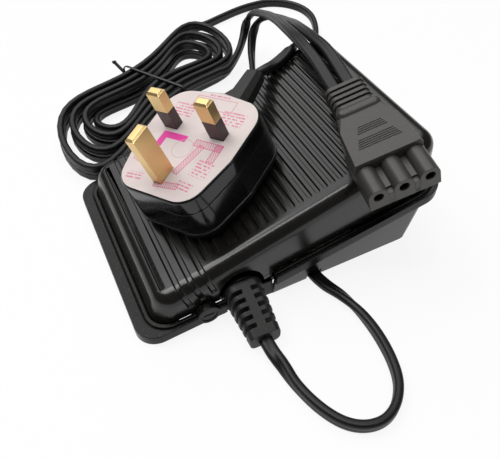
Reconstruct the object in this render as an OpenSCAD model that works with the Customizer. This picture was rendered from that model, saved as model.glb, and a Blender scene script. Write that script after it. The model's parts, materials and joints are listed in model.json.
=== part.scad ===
// Sewing machine foot pedal with its machine connector, mains plug and leads.
// Millimetres. Origin: middle of the pedal's footprint, on the floor, +Z up.
// X runs from the heel (-) to the toe (+), Y from the near side (-) to the far side (+).

/* [Pedal] */
// Length of the base flange, heel to toe
pedal_length = 132; // [130:1:136]
// Width of the base flange
pedal_width = 95; // [93:1:98]
// Slope of the foot plate in degrees
tread_angle = 19.06; // [18.6:0.1:19.4]
// Height of the foot plate's plane over the origin
tread_height = 37; // [36.5:0.5:38.5]
// Wall of the treadle cover
cover_wall = 2.2; // [2:0.1:2.4]
// Radius of the cover's long top edges
edge_radius = 6; // [5:0.5:6.5]
// Depth of the foot grooves
groove_depth = 0.8; // [0.5:0.1:1]
// Number of fine grooves on the toe area
toe_grooves = 27; // [10:1:27]

/* [Base] */
// Height of the flange's side wall
flange_height = 5.1; // [4.6:0.1:5.6]
// Gap between the cover and the flange's opening
cover_gap = 0.4; // [0.35:0.05:0.5]
// Wall of the tray
tray_wall = 1.6; // [1.4:0.1:1.8]
// Height of the rubber feet under the tray
foot_height = 0.8; // [0.6:0.1:1.2]

/* [Hinge] */
// Diameter of the pivot pins
pivot_d = 4; // [3.6:0.1:4.4]

/* [Leads] */
// Width of the flat twin lead
lead_width = 5.4; // [5.2:0.1:5.6]
// Thickness of the flat twin lead
lead_thick = 3.4; // [3.2:0.1:3.6]

/* [Connector] */
// Spacing of the three contacts
contact_pitch = 9.4; // [9.2:0.1:9.8]
// Bore of a contact sleeve
contact_bore = 3.3; // [3:0.1:3.6]

/* [Plug] */
// Thickness of the plug's body without its pins
plug_thick = 24.2; // [23:0.1:24.3]
// Length of the earth pin
earth_pin_length = 22.7; // [22:0.1:23]

/* [Hidden] */

$fn = 48;
eps = 0.01;
run_gap = 0.35;      // air between a moving piece and a fixed one
seat = 0.05;         // air around a piece that sits in a pocket
half_l = pedal_length / 2;
half_w = pedal_width / 2;

// Flange line: level of its underside, creased near the heel
crease_x = -31.3;
heel_slope = 7.5;
toe_slope = 13.3;
crease_z = (half_l + crease_x) * tan(heel_slope);
function flange_z(x) = x < crease_x ? (x + half_l) * tan(heel_slope)
    : crease_z + (x - crease_x) * tan(toe_slope);
// Plane of the foot plate
function tread_z(x) = tread_height + x * tan(tread_angle);

// Treadle cover outline
heel_lip = 6.8;
side_lip = 3.45;
toe_lip = 4.2;
cov_heel = -half_l + heel_lip;
cov_toe = half_l - toe_lip;
cov_y = half_w - side_lip;
cov_corner = 8;
toe_lean = 3.9;
skirt_overlap = 2.6;
skirt_step = 0.6;

// Pivot
piv_x = cov_heel + 20.4;
piv_z = 7;
travel = 1.9;

// Under-pedal cord channel
chan_x = 9;
chan_w = lead_width + 1;
chan_h = lead_thick + 0.9;

base_z = foot_height;
plate_t = 2;
plate_inset = 3.2;

// Circuit board
pcb_t = 1.6;
pcb_z = 8;
pcb_x0 = -14;
pcb_x1 = 46;
pcb_y = 24;
pcb_holes = [[-10, -20], [-10, 20], [42, -20], [42, 20]];
plate_screws = [for (p = [[-44, 17.5], [50, 14.5], [0, 10]], s = [-1, 1])
    [p[0], s * (half_w - p[1])]];

// Speed lever
lev_x = 30;
lev_z = 20;
lev_arm = 9.6;
lev_swing = 8.2;
lev_tip_r = 1.6;
tip_gap = 0.3;

// Strain relief
sr_x = -23.6;
sr_wall = -(cov_y + 0.2);
sr_root_w = 15.2;
sr_root_z = 9.6;
sr_root_h = 13.5;
sr_end = [sr_x, -cov_y - 20.55, 4.8];
sr_end_w = 12.4;
sr_end_h = 7;
arch_r = 9.2;

function hyp(v) = sqrt(v * v);
function unit(v) = v / norm(v);

// Rounded rectangle from exact pieces: x0..x1, half width w, corner r
module plan(x0, x1, w, r) {
    translate([x0 + r, -w]) square([x1 - x0 - 2 * r, 2 * w]);
    translate([x0, -w + r]) square([x1 - x0, 2 * w - 2 * r]);
    for (x = [x0 + r, x1 - r], y = [-w + r, w - r])
        translate([x, y]) circle(r);
}

module rbox(x0, x1, y0, y1, z0, z1) {
    translate([x0, y0, z0]) cube([x1 - x0, y1 - y0, z1 - z0]);
}

// A cylinder along Y between y0 and y1
module ycyl(x, z, r, y0, y1) {
    translate([x, y0, z]) rotate([-90, 0, 0]) cylinder(r = r, h = y1 - y0);
}

// The frame of the foot plate: X up the slope, Z out of it
module on_tread() {
    translate([0, 0, tread_height]) rotate([0, -tread_angle, 0]) children();
}

// Band between two offsets of the flange line, through the full width
module band(a, b) {
    translate([0, 60, 0]) rotate([90, 0, 0]) linear_extrude(120)
        polygon([[-80, flange_z(-80) + a], [crease_x, crease_z + a], [80, flange_z(80) + a],
            [80, flange_z(80) + b], [crease_x, crease_z + b], [-80, flange_z(-80) + b]]);
}

hull_toe = half_l - 6.4;
// half width of the tray at the floor
hull_y = half_w - 5.8;
web_t = 0.7;
// the cover swings forward as it goes down, so it has more room at the toe
toe_gap = 1.05;
module tray_hull(inset) {
    bw = hull_y - inset;
    tw = half_w - 1.2 - inset;
    hull() {
        translate([0, 0, base_z - inset * 0.0])
            linear_extrude(eps) plan(-58 + inset, 57.4 - inset, bw, 3);
        translate([0, 0, 0]) linear_extrude(base_z + eps)
            plan(-58 + inset, 57.4 - inset, bw, 3);
        intersection() {
            band(0, eps);
            translate([0, 0, -5]) linear_extrude(60)
                plan(-62 + inset, hull_toe - inset, tw, 6);
        }
    }
}

ear_r = 3.6;
ear_y0 = half_w - 8.9;
ear_y1 = cov_y - cover_wall - 0.45;
pin_bore = pivot_d / 2 + seat;
pin_run = pivot_d / 2 + 0.08;
pin_head_r = pivot_d / 2 + 1.2;
pin_head_t = 1.2;
boss_in = cov_y + cover_gap;

// Both sides of the pedal
module both() {
    children();
    mirror([0, 1, 0]) children();
}

module strain_house(g) {
    y0 = -cov_y - 0.2;
    rbox(crease_x - g, -10.4 + g, y0 - g, -cov_y + 3 + g, base_z, flange_z(-21) + 2 + g);
    rbox(crease_x - g, -15.4 + g, y0 - g, -cov_y + 3 + g, base_z, flange_z(-21) + 5 + g);
    ycyl(sr_x, sr_root_z, arch_r - 1.5 + g, y0 - g, -cov_y + 3 + g);
    rbox(sr_x - arch_r + 1.5 - g, sr_x + arch_r - 1.5 + g, y0 - g, -cov_y + 3 + g, 4,
        sr_root_z);
}

module post_block(p) {
    translate([p[0], p[1], base_z + plate_t + seat]) cylinder(r = 3, h = 5.2);
}

module base_tray() {
    color([0.13, 0.125, 0.12]) difference() {
        union() {
            difference() {
                union() {
                    intersection() {
                        band(0, flange_height - 0.7);
                        linear_extrude(80) plan(-half_l, half_l, half_w, 9);
                    }
                    intersection() {
                        band(flange_height - 2, flange_height);
                        linear_extrude(80)
                            plan(cov_heel - 1.9, cov_toe + 1.9, cov_y + 1.9, 9.5);
                    }
                    tray_hull(0);
                    both() ycyl(piv_x, piv_z, 4.6, boss_in, half_w);
                }
                // opening for the cover, with a thin floor left at the heel
                difference() {
                    union() {
                        intersection() {
                            band(web_t, 60);
                            translate([0, 0, -5]) linear_extrude(90)
                                plan(cov_heel - cover_gap, cov_toe + toe_gap, boss_in,
                                    cov_corner + cover_gap);
                        }
                        intersection() {
                            band(-0.5, web_t + 1);
                            translate([0, 0, -5]) linear_extrude(90)
                                plan(cov_heel - cover_gap, hull_toe - tray_wall, boss_in - 0.3,
                                    5);
                        }
                    }
                    rbox(-90, -49, -60, 60, -1, 2.5);
                }
                difference() {
                    tray_hull(tray_wall);
                    rbox(-90, -49, -60, 60, -1, 2.5);
                    both() rbox(piv_x - 5, piv_x + 5, ear_y0, 60, -1, 2.85);
                }
                // groove between the two rims
                difference() {
                    band(flange_height - 1.2, flange_height - 0.6);
                    translate([0, 0, -5]) linear_extrude(90)
                        plan(cov_heel - 1.9, cov_toe + 1.9, cov_y + 1.9, 9.5);
                    translate([0, 0, -5]) linear_extrude(90) difference() {
                        square(300, center = true);
                        plan(cov_heel - 2.4, cov_toe + 2.4, cov_y + 2.4, 10);
                    }
                }
                // gap in the flange beside the strain relief
                rbox(crease_x, -10.4, -60, -cov_y - 0.2, -1, 60);
            }
            intersection() {
                strain_house(0);
                rbox(-90, 90, -60, 60, base_z, 60);
            }
            // inner hinge ears
            both() rbox(piv_x - 4.5, piv_x + 4.5, ear_y0, ear_y1, 1.5, 11);
            // posts for the screws of the bottom plate
            for (p = plate_screws) {
                post_block(p);
                e = half_w - (p[0] < -20 ? 6.3 : p[0] < 20 ? 4.1 : 5.6);
                rbox(p[0] - 1.5, p[0] + 1.5, p[1] > 0 ? p[1] : -e, p[1] > 0 ? e : p[1],
                    base_z + plate_t + seat, base_z + plate_t + 5.2);
            }
        }
        // seat of the bottom plate
        translate([0, 0, base_z - 1]) linear_extrude(plate_t + seat + 1)
            plan(plate_x0 - 0.2, plate_x1 + 0.2, plate_y + 0.2, 3.2);
        // pivot bores and the recesses for the pin heads
        both() {
            ycyl(piv_x, piv_z, pin_bore, 30, 60);
            ycyl(piv_x, piv_z, pin_head_r + 0.1, half_w - 1.6, 60);
        }
        // cord channel through both side walls
        rbox(chan_x - chan_w / 2, chan_x + chan_w / 2, -60, 60, -1, chan_h);
        // throat of the strain relief and the slot of its collar
        ycyl(sr_x, sr_root_z, sr_neck_r + seat, -60, -30);
        for (p = plate_screws)
            translate([p[0], p[1], 0]) cylinder(r = screw_r - 0.25, h = 6.5);
    }
}

plate_x0 = -48;
plate_x1 = 54;
plate_y = half_w - 9.1;
screw_r = 1.5;
sr_neck_r = 4.6;

module bottom_plate() {
    color([0.2, 0.19, 0.185]) difference() {
        union() {
            translate([0, 0, base_z]) linear_extrude(plate_t)
                plan(plate_x0, plate_x1, plate_y, 3);
            // trough over the cord channel
            rbox(chan_x - chan_w / 2 - 1.3, chan_x + chan_w / 2 + 1.3, -plate_y, plate_y,
                base_z, chan_h + 1.3);
            for (p = pcb_holes)
                translate([p[0], p[1], base_z]) cylinder(r = 3, h = pcb_z - base_z - seat);
        }
        rbox(chan_x - chan_w / 2, chan_x + chan_w / 2, -60, 60, -1, chan_h);
        for (p = pcb_holes)
            translate([p[0], p[1], base_z + 1.5]) cylinder(r = 1.05, h = 20);
        for (p = plate_screws) translate([p[0], p[1], base_z - 1]) {
            cylinder(r = screw_r + 0.2, h = 20);
            cylinder(r = screw_r + 1.4, h = 2.05);
        }
        for (p = foot_at) translate([p[0], p[1], base_z - 1]) cylinder(r = 4.6, h = 1.8);
        for (s = [-1, 1]) translate([sr_x + s * 6.6, clamp_y, base_z - 1])
            cylinder(r = 1.2 + seat, h = 6);
        // vent slots
        for (i = [0:5]) rbox(-36 + i * 5, -34 + i * 5, -12, 12, -1, 10);
    }
}

foot_at = [[-37, -25], [-37, 25], [45, -25], [45, 25]];
module rubber_feet() {
    color([0.1, 0.1, 0.1]) for (p = foot_at) translate([p[0], p[1], 0]) {
        cylinder(r = 4.5, h = base_z + 0.8 - seat);
    }
}

module base_screws() {
    color([0.7, 0.7, 0.68]) for (p = plate_screws) translate([p[0], p[1], 0]) difference() {
        union() {
            translate([0, 0, base_z + 0.05]) cylinder(r = screw_r + 1.2, h = 0.95);
            translate([0, 0, base_z + 0.9]) cylinder(r = screw_r - 0.3, h = 4.6);
        }
        for (a = [0, 90]) translate([0, 0, base_z]) rotate([0, 0, a])
            cube([3, 0.6, 1], center = true);
    }
}

module pivot_pins() {
    color([0.62, 0.62, 0.6]) both() difference() {
        union() {
            ycyl(piv_x, piv_z, pivot_d / 2, ear_y0 + 0.3, half_w - 1.6);
            ycyl(piv_x, piv_z, pin_head_r, half_w - 1.6 + seat, half_w - 1.6 + seat + pin_head_t);
            ycyl(piv_x, piv_z, pivot_d / 2, half_w - 2, half_w - 1.5);
        }
        rbox(piv_x - 2.2, piv_x + 2.2, half_w - 0.9, 60, piv_z - 0.4, piv_z + 0.4);
    }
}

// Compression springs between the tray's cups and the cover
spring_at = [[20, 16.5 - half_w], [20, half_w - 16.5]];
spring_z0 = base_z + plate_t + 0.3;
spring_z1 = 38.9;
spring_r = 4.2;
spring_wire = 0.55;
spring_turns = 6;
module coil(r, w, h, turns) {
    n = 12;
    m = 5;
    steps = n * turns;
    pts = [for (i = [0:steps]) let (a = 360 * i / n, z = w + (h - 2 * w) * i / steps)
        for (j = [0:m - 1]) let (b = 360 * j / m)
            [(r + w * cos(b)) * cos(a), (r + w * cos(b)) * sin(a), z + w * sin(b)]];
    polyhedron(pts, concat([[for (j = [0:m - 1]) j]],
        [for (i = [0:steps - 1], j = [0:m - 1]) let (k = (j + 1) % m)
            each [[i * m + j, (i + 1) * m + j, (i + 1) * m + k], [i * m + j, (i + 1) * m + k, i * m + k]]],
        [[for (j = [m - 1:-1:0]) steps * m + j]]));
}
module return_springs() {
    color([0.7, 0.7, 0.7]) for (p = spring_at)
        translate([p[0], p[1], spring_z0])
            coil(spring_r, spring_wire, spring_z1 - spring_z0, spring_turns);
}

module circuit_board() {
    color([0.55, 0.42, 0.2]) difference() {
        rbox(pcb_x0, pcb_x1, -pcb_y, pcb_y, pcb_z, pcb_z + pcb_t);
        for (p = pcb_holes) translate([p[0], p[1], 0]) cylinder(r = 1.5, h = 20);
    }
}

module pcb_screws() {
    color([0.7, 0.7, 0.68]) for (p = pcb_holes)
        translate([p[0], p[1], pcb_z + pcb_t + seat]) difference() {
            union() {
                cylinder(r = 2.6, h = 1.4);
                translate([0, 0, -6]) cylinder(r = 1, h = 6.5);
            }
            for (a = [0, 90]) translate([0, 0, 1.4]) rotate([0, 0, a])
                cube([3, 0.5, 1], center = true);
        }
}

// Potentiometer on its bracket, shaft along Y
pcb_top = pcb_z + pcb_t + seat;
pot_y = 9;
pot_shaft_r = 3;
module potentiometer() {
    color([0.35, 0.36, 0.4]) {
        ycyl(lev_x, lev_z, 8, pot_y, pot_y + 8);
        ycyl(lev_x, lev_z, pot_shaft_r, 0.2, pot_y + 0.5);
        ycyl(lev_x, lev_z, 4.2, pot_y - 2.5, pot_y + 0.5);
        rbox(lev_x - 6, lev_x + 6, pot_y + 1, pot_y + 7, pcb_top, lev_z);
    }
}

module speed_lever() {
    color([0.85, 0.84, 0.8]) difference() {
        union() {
            ycyl(lev_x, lev_z, 5, 0, pot_y - 3.2);
            translate([lev_x, 0, lev_z]) rotate([0, -lev_swing, 0]) {
                rbox(0, lev_arm, 1, 5, -1.4, 1.4);
                ycyl(lev_arm, 0, lev_tip_r, -2, 6);
            }
        }
        ycyl(lev_x, lev_z, pot_shaft_r + 0.08, -1, 20);
    }
}

module triac() {
    color([0.1, 0.1, 0.1]) {
        difference() {
            rbox(-8, 2, 2.3, 6.7, pcb_top + 2.5, pcb_top + 18);
            ycyl(-3, pcb_top + 14.5, 1.6, 0, 12);
        }
        for (i = [-1:1]) rbox(-3.4 + i * 2.54, -2.6 + i * 2.54, 4, 4.6, pcb_top, pcb_top + 3);
    }
}

module heat_sink() {
    color([0.75, 0.76, 0.77]) difference() {
        union() {
            rbox(-12, 6, 6.8, 8.4, pcb_top, 27);
            for (i = [0:4]) rbox(-12 + i * 4.1, -10.4 + i * 4.1, 8.3, 15, pcb_top, 26);
        }
        ycyl(-3, pcb_top + 14.5, 1.6, 0, 12);
    }
}

module triac_screw() {
    color([0.7, 0.7, 0.68]) difference() {
        union() {
            ycyl(-3, pcb_top + 14.5, 2.7, 0.8, 2.25);
            ycyl(-3, pcb_top + 14.5, 1.4, 2, 10.5);
        }
        rbox(-5, -1, 0, 1.3, pcb_top + 14.2, pcb_top + 14.8);
    }
}

module suppression_capacitor() {
    color([0.85, 0.75, 0.2]) difference() {
        rbox(-10, 8, -17, -9, pcb_top, pcb_top + 13);
        rbox(-11, 9, -13.3, -12.7, pcb_top + 12.5, pcb_top + 14);
    }
}

module choke() {
    color([0.35, 0.28, 0.2]) translate([22, -15, pcb_top]) difference() {
        union() {
            cylinder(r = 7, h = 1.5);
            cylinder(r = 5.6, h = 12);
            translate([0, 0, 11]) cylinder(r = 7, h = 1.5);
        }
        translate([0, 0, -1]) cylinder(r = 2, h = 20);
    }
}

module resistors() {
    color([0.8, 0.7, 0.5]) for (p = [[12, -2], [12, 3], [36, -12]])
        translate([p[0], p[1], pcb_top + 2]) rotate([0, 90, 0]) {
            cylinder(r = 1.3, h = 6.5);
            translate([0, 0, -1.5]) cylinder(r = 0.35, h = 9.5);
            for (x = [-1.5, 7.65]) translate([0, -0.35, x]) cube([2, 0.7, 0.35]);
        }
}

module terminal_block() {
    color([0.15, 0.4, 0.3]) difference() {
        rbox(-12, -4, -8, 1.2, pcb_top, pcb_top + 9);
        for (y = [-5.5, -1.2]) {
            translate([-8, y, pcb_top + 5]) cylinder(r = 1.6, h = 10);
            rbox(-20, -9, y - 1.3, y + 1.3, pcb_top + 1.5, pcb_top + 4.5);
        }
    }
}

// Saddle that holds the lead inside the tray
clamp_y = -27;
clamp_z = base_z + plate_t + seat;
module cable_clamp() {
    color([0.12, 0.12, 0.12]) difference() {
        union() {
            rbox(sr_x - 9, sr_x + 9, clamp_y - 3, clamp_y + 3, clamp_z, clamp_z + 2.2);
            rbox(sr_x - 4.4, sr_x + 4.4, clamp_y - 3, clamp_y + 3, clamp_z, clamp_z + 5.4);
        }
        for (s = [-1, 1]) translate([sr_x + s * 6.6, clamp_y, 0])
            cylinder(r = 1.2 + seat, h = 20);
        translate([sr_x, clamp_y - 4, clamp_z + 2.1]) rotate([-90, 0, 0])
            linear_extrude(8) oval(lead_width + 0.3, lead_thick + 0.3);
    }
}

module clamp_screws() {
    color([0.7, 0.7, 0.68]) for (s = [-1, 1])
        translate([sr_x + s * 6.6, clamp_y, clamp_z + 2.2 + seat]) difference() {
            union() {
                cylinder(r = 2.1, h = 1.3);
                translate([0, 0, -3.6]) cylinder(r = 1.2, h = 4);
            }
            translate([0, 0, 1.3]) cube([3, 0.5, 1], center = true);
        }
}

// Ribbed strain relief: collar in the wall, tapering boot, solid end block
module strain_relief() {
    y0 = -cov_y - 0.25;
    color([0.1, 0.1, 0.1]) difference() {
        union() {
            ycyl(sr_x, sr_root_z, sr_neck_r, y0 - 1, -cov_y + 5);
            ycyl(sr_x, sr_root_z, sr_neck_r + 1.6, -cov_y + 3.1, -cov_y + 5);
            hull() {
                translate([sr_x, y0, sr_root_z]) rotate([90, 0, 0]) linear_extrude(1.5)
                    plan2(sr_root_w, sr_root_h, 4);
                translate([sr_end[0], sr_end[1] + 4.5, sr_end[2]]) rotate([90, 0, 0])
                    linear_extrude(4.5) plan2(sr_end_w, sr_end_h, 2.4);
            }
        }
        // five slots each side of the spine
        for (i = [0:4]) translate([0, y0 - 3.1 - i * 3.1, 0]) for (s = [-1, 1])
            rbox(sr_x + (s > 0 ? 1.8 : -12), sr_x + (s > 0 ? 12 : -1.8), -1.5, 0, -5, 30);
        // spine is undercut below too
        for (i = [0:4]) translate([0, y0 - 3.1 - i * 3.1, 0])
            rbox(sr_x - 12, sr_x + 12, -1.5, 0, -5, 3);
        translate([sr_end[0], sr_end[1] - 1, sr_end[2] - 0.8]) rotate([-90, 0, 0])
            linear_extrude(2.2) oval(lead_width + 0.1, lead_thick + 0.1);
    }
}
module plan2(w, h, r) {
    translate([-w / 2 + r, -h / 2]) square([w - 2 * r, h]);
    translate([-w / 2, -h / 2 + r]) square([w, h - 2 * r]);
    for (x = [-w / 2 + r, w / 2 - r], y = [-h / 2 + r, h / 2 - r])
        translate([x, y]) circle(r, $fn = 24);
}
module oval(w, h) {
    square([w - h, h], center = true);
    for (s = [-1, 1]) translate([s * (w - h) / 2, 0]) circle(h / 2, $fn = 24);
}

// Rubber pads on the tray that stop the cover at full travel
pad_at = [50.4, 20.6];
pad_h = 16;
module travel_pads() {
    color([0.08, 0.08, 0.08]) for (s = [-1, 1])
        translate([pad_at[0], s * pad_at[1], base_z + plate_t + seat])
            cylinder(r = 3.6, h = pad_h);
}

/* Treadle cover */
// how far each long side leans in, as the mould needs
draft = 0.12;
tr_toe = 57.9 * cos(tread_angle) + (tread_z(57.9) - tread_height) * sin(tread_angle);
tr_heel = cov_heel * cos(tread_angle) + (tread_z(cov_heel) - tread_height) * sin(tread_angle);
module cover_hull(w) {
    er = edge_radius - w;
    $fn = 32;
    hull() {
        on_tread() for (x = [tr_heel + cov_corner, tr_toe - cov_corner], s = [-1, 1])
            translate([x, s * (cov_y - cov_corner - draft), -edge_radius]) rotate_extrude()
                translate([cov_corner - edge_radius, 0]) intersection() {
                    circle(er);
                    translate([0, -er]) square([er, 2 * er]);
                }
        intersection() {
            band(flange_height - 0.6, flange_height);
            linear_extrude(80) plan(cov_heel + w, cov_toe - w, cov_y - w, cov_corner - w);
        }
    }
}

fine_x0 = -33.3;
fine_p0 = 4.25;
fine_dp = 0.0815;
function fine_x(i) = fine_x0 + fine_p0 * i - fine_dp * i * (i - 1) / 2;
coarse_x = [-56.4, -51.6, -46.6, -41.7, -36.8];
// distance along the slope of a line drawn at x on the foot plate
function along(x) = x / cos(tread_angle);

module groove_cut(x, w, half_len, square_ends) {
    translate([along(x) - w, 0, -groove_depth]) {
        translate([0, -half_len + (square_ends ? 0 : w / 2), 0])
            cube([w, 2 * half_len - (square_ends ? 0 : w), 5]);
        if (!square_ends) for (s = [-1, 1])
            translate([w / 2, s * (half_len - w / 2), 0]) cylinder(r = w / 2, h = 5, $fn = 24);
    }
}

// A groove that also runs over the rounded long edges
module groove_over(x, w, deep) {
    d = groove_depth;
    r = edge_radius;
    translate([along(x) - w, 0, 0]) rotate([90, 0, 90]) linear_extrude(w) difference() {
        translate([-60, -deep]) square([120, deep + 5]);
        translate([-cov_y + d, -60]) square([2 * (cov_y - d), 60 - r]);
        translate([-cov_y + r, -60]) square([2 * (cov_y - r), 60 - d]);
        for (s = [-1, 1]) translate([s * (cov_y - r), -r]) circle(r - d);
    }
}

// What of a rib or post lies below the middle of the foot plate's wall
module under_tread() {
    intersection() {
        children();
        on_tread() rbox(-90, 90, -60, 60, -90, -1.1);
    }
}

module treadle_cover() {
    color([0.13, 0.125, 0.12]) difference() {
        union() {
            difference() {
                cover_hull(0);
                cover_hull(cover_wall);
                intersection() {
                    band(-5, flange_height - 0.55);
                    linear_extrude(80) plan(cov_heel + cover_wall, cov_toe - cover_wall,
                        cov_y - cover_wall, cov_corner - cover_wall);
                }
            }
            // hinge ears
            both() intersection() {
                union() {
                    ycyl(piv_x, piv_z, ear_r, cov_y - cover_wall - 0.05, cov_y - skirt_step);
                    rbox(piv_x - ear_r, piv_x + ear_r, cov_y - cover_wall - 0.05,
                        cov_y - skirt_step, piv_z, piv_z + 3);
                }
            }
            // push rib over the speed lever
            under_tread() rbox(lev_x + 5.6, lev_x + 13, -3, 7, rib_z, 80);
            // stop posts over the rubber pads
            for (s = [-1, 1]) under_tread()
                translate([pad_at[0], s * pad_at[1], stop_z]) cylinder(r = 3, h = 60);
            // wall beside the strain relief runs down without a step
            intersection() {
                band(flange_height - skirt_overlap, flange_height - 0.5);
                rbox(sr_x + arch_r + 0.1, -10.9, -cov_y + 0.02, -cov_y + 1.9, 0, 40);
            }
            // spring sockets
            for (p = spring_at) under_tread()
                translate([p[0], p[1], spring_z1 - 3]) cylinder(r = 6.2, h = 40);
            // stiffening ribs under the foot plate
            for (y = [-20, 20]) on_tread() rbox(-46, 50, y - 0.8, y + 0.8, -5.5, -1.3);
        }
        for (p = spring_at) translate([p[0], p[1], spring_z1 - 4])
            cylinder(r = spring_r + spring_wire + 0.4, h = 4.1);
        both() ycyl(piv_x, piv_z, pin_run, 30, 60);
        // arch for the strain relief
        ycyl(sr_x, sr_root_z + 1.6, arch_r, -60, -38);
        rbox(sr_x - arch_r, -8.9, -60, -40.6, -5, sr_root_z + 1.6);
        on_tread() {
            for (i = [0:1]) groove_cut(coarse_x[i], 2, cov_y - 6.95, true);
            for (i = [2:4]) groove_over(coarse_x[i], 2, 9.5);
            for (i = [0:toe_grooves - 1]) groove_cut(fine_x(i), 1.65, cov_y - 7.65, false);
        }
    }
}
rib_z = lev_z + lev_arm * sin(lev_swing) + lev_tip_r + tip_gap;
stop_z = base_z + plate_t + seat + pad_h + (pad_at[0] - piv_x) * sin(travel) + 0.25;

/* Flat leads: rows of x, y, z and the turn of the width about the run */
pedal_route = [[-23.6, -63.45, 4, 0], [-23.6, -66.5, 4, 2], [-23.4, -70.5, 3.7, 18], [-22.6, -76, 3.2, 50],
    [-21.6, -85, 2.8, 85], [-18.8, -95, 2.8, 90], [-14.4, -103, 2.8, 90],
    [-8.6, -107.6, 2.8, 90], [-1.6, -108.8, 2.8, 90], [5.2, -106, 2.8, 90],
    [10.9, -99.7, 2.8, 90], [14.2, -91, 2.8, 90], [15.8, -80, 2.8, 90],
    [15.5, -69, 2.8, 75], [13.4, -58.5, 2.4, 35], [10.4, -50, 1.9, 8], [9, -41, 1.8, 0],
    [9, -20, 1.8, 0], [9, 0, 1.8, 0], [9, 20, 1.8, 0], [9, 41, 1.8, 0],
    [11, 52, 1.9, 8], [15, 62, 2.4, 35], [22, 71, 2.8, 75], [32, 79, 2.8, 90],
    [42, 87, 2.8, 90], [49, 97, 3, 90], [54, 108, 4.2, 80], [58.5, 118.5, 8, 55],
    [62.5, 125, 15, 30], [66, 124, 23, 10], [68, 115, 29.5, 0], [67.6, 102, 34.5, 0],
    [64.6, 88, 40, 0], [59.6, 72, 47, 0], [54, 55, 53.5, 0], [50.4, 38, 57.8, 4],
    [48.4, 22, 59.6, 10]];
mains_route = [[19.8, 29.6, 53.4, -16], [25, 34.6, 52.6, -20], [30.6, 38.8, 51.8, -28],
    [36.4, 42, 51.2, -42], [41.6, 44.6, 50, -60], [45.4, 47.6, 45.6, -76],
    [48.2, 50.6, 38, -84], [51, 53.6, 29, -88], [54.8, 58, 20, -90], [60, 64, 12, -90],
    [67, 72, 6.4, -90], [75.6, 82, 3.6, -90],
    [85, 94, 2.8, -90], [97, 110, 2.8, -90], [108, 125, 2.8, -90], [115.4, 139, 2.8, -90],
    [119.4, 152, 2.8, -90], [118.6, 164.5, 2.8, -90], [112.4, 175, 2.8, -90],
    [102, 181.4, 2.8, -90], [89, 182, 2.8, -90], [76, 179.6, 2.8, -90], [62, 175, 2.8, -90],
    [48, 170.4, 2.8, -90]];
link_route = [[38, 108.6, 9, 90], [48, 117.4, 9.6, 90], [56, 126.4, 13.4, 70],
    [60.6, 129.4, 20, 35], [62.6, 124.6, 27.4, 10], [62, 112, 34, 0], [59.4, 97, 39.8, 0],
    [54.6, 79, 46, 0], [49, 61, 51.4, 0], [44.6, 44.6, 55.4, 4], [42.2, 29, 57.6, 10],
    [41.2, 17.5, 57.6, 13]];

lead_a = lead_width / 2;
lead_b = lead_thick / 2;
// Smooth curve through the rows, n steps to each
function cr(p, i, t) = let (m = len(p) - 1, a = p[max(i - 1, 0)], b = p[i],
    c = p[min(i + 1, m)], d = p[min(i + 2, m)])
    0.5 * (2 * b + (c - a) * t + (2 * a - 5 * b + 4 * c - d) * t * t
        + (3 * b - a - 3 * c + d) * t * t * t);
function smooth_rows(p, n) = concat([for (i = [0:len(p) - 2], k = [0:n - 1]) cr(p, i, k / n)],
    [p[len(p) - 1]]);
function xyz(r) = [r[0], r[1], r[2]];
function oct(a, b) = [[a, -b * 0.4], [a, b * 0.4], [a - b * 0.6, b], [-a + b * 0.6, b],
    [-a, b * 0.4], [-a, -b * 0.4], [-a + b * 0.6, -b], [a - b * 0.6, -b]];
function hex6(a, b) = [[a, 0], [a - b * 0.7, b], [-a + b * 0.7, b], [-a, 0],
    [-a + b * 0.7, -b], [a - b * 0.7, -b]];
function tangent(r, i) = unit(xyz(r[min(i + 1, len(r) - 1)]) - xyz(r[max(i - 1, 0)]));
function ring(r, i, sec) = let (t = tangent(r, i), h = unit(cross([0, 0, 1], t)),
    v = cross(t, h), q = r[i][3])
    [for (s = sec) xyz(r[i]) + (cos(q) * h + sin(q) * v) * s[0]
        + (-sin(q) * h + cos(q) * v) * s[1]];

// One unbroken tube through rows
module sweep(r, sec) {
    m = len(sec);
    n = len(r);
    pts = [for (i = [0:n - 1]) each ring(r, i, sec)];
    polyhedron(pts, concat([[for (j = [0:m - 1]) j]],
        [for (i = [0:n - 2], j = [0:m - 1]) let (k = (j + 1) % m)
            each [[i * m + j, (i + 1) * m + j, (i + 1) * m + k],
                [i * m + j, (i + 1) * m + k, i * m + k]]],
        [[for (j = [m - 1:-1:0]) (n - 1) * m + j]]));
}

// Rows that meet the hank's end face to face: 0 for its start, 1 for its end
function hank_lead(k, q = 90) = let (r = hank_rows(), n = len(r), p = k ? r[n - 1] : r[0],
    o = k ? r[n - 2] : r[1], d = unit(xyz(p) - xyz(o)), near = xyz(p) + d * 0.05,
    far = xyz(p) + d * 7)
    k ? [[near[0], near[1], near[2], q], [far[0], far[1], far[2], q]]
        : [[far[0], far[1], far[2], q], [near[0], near[1], near[2], q]];
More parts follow.
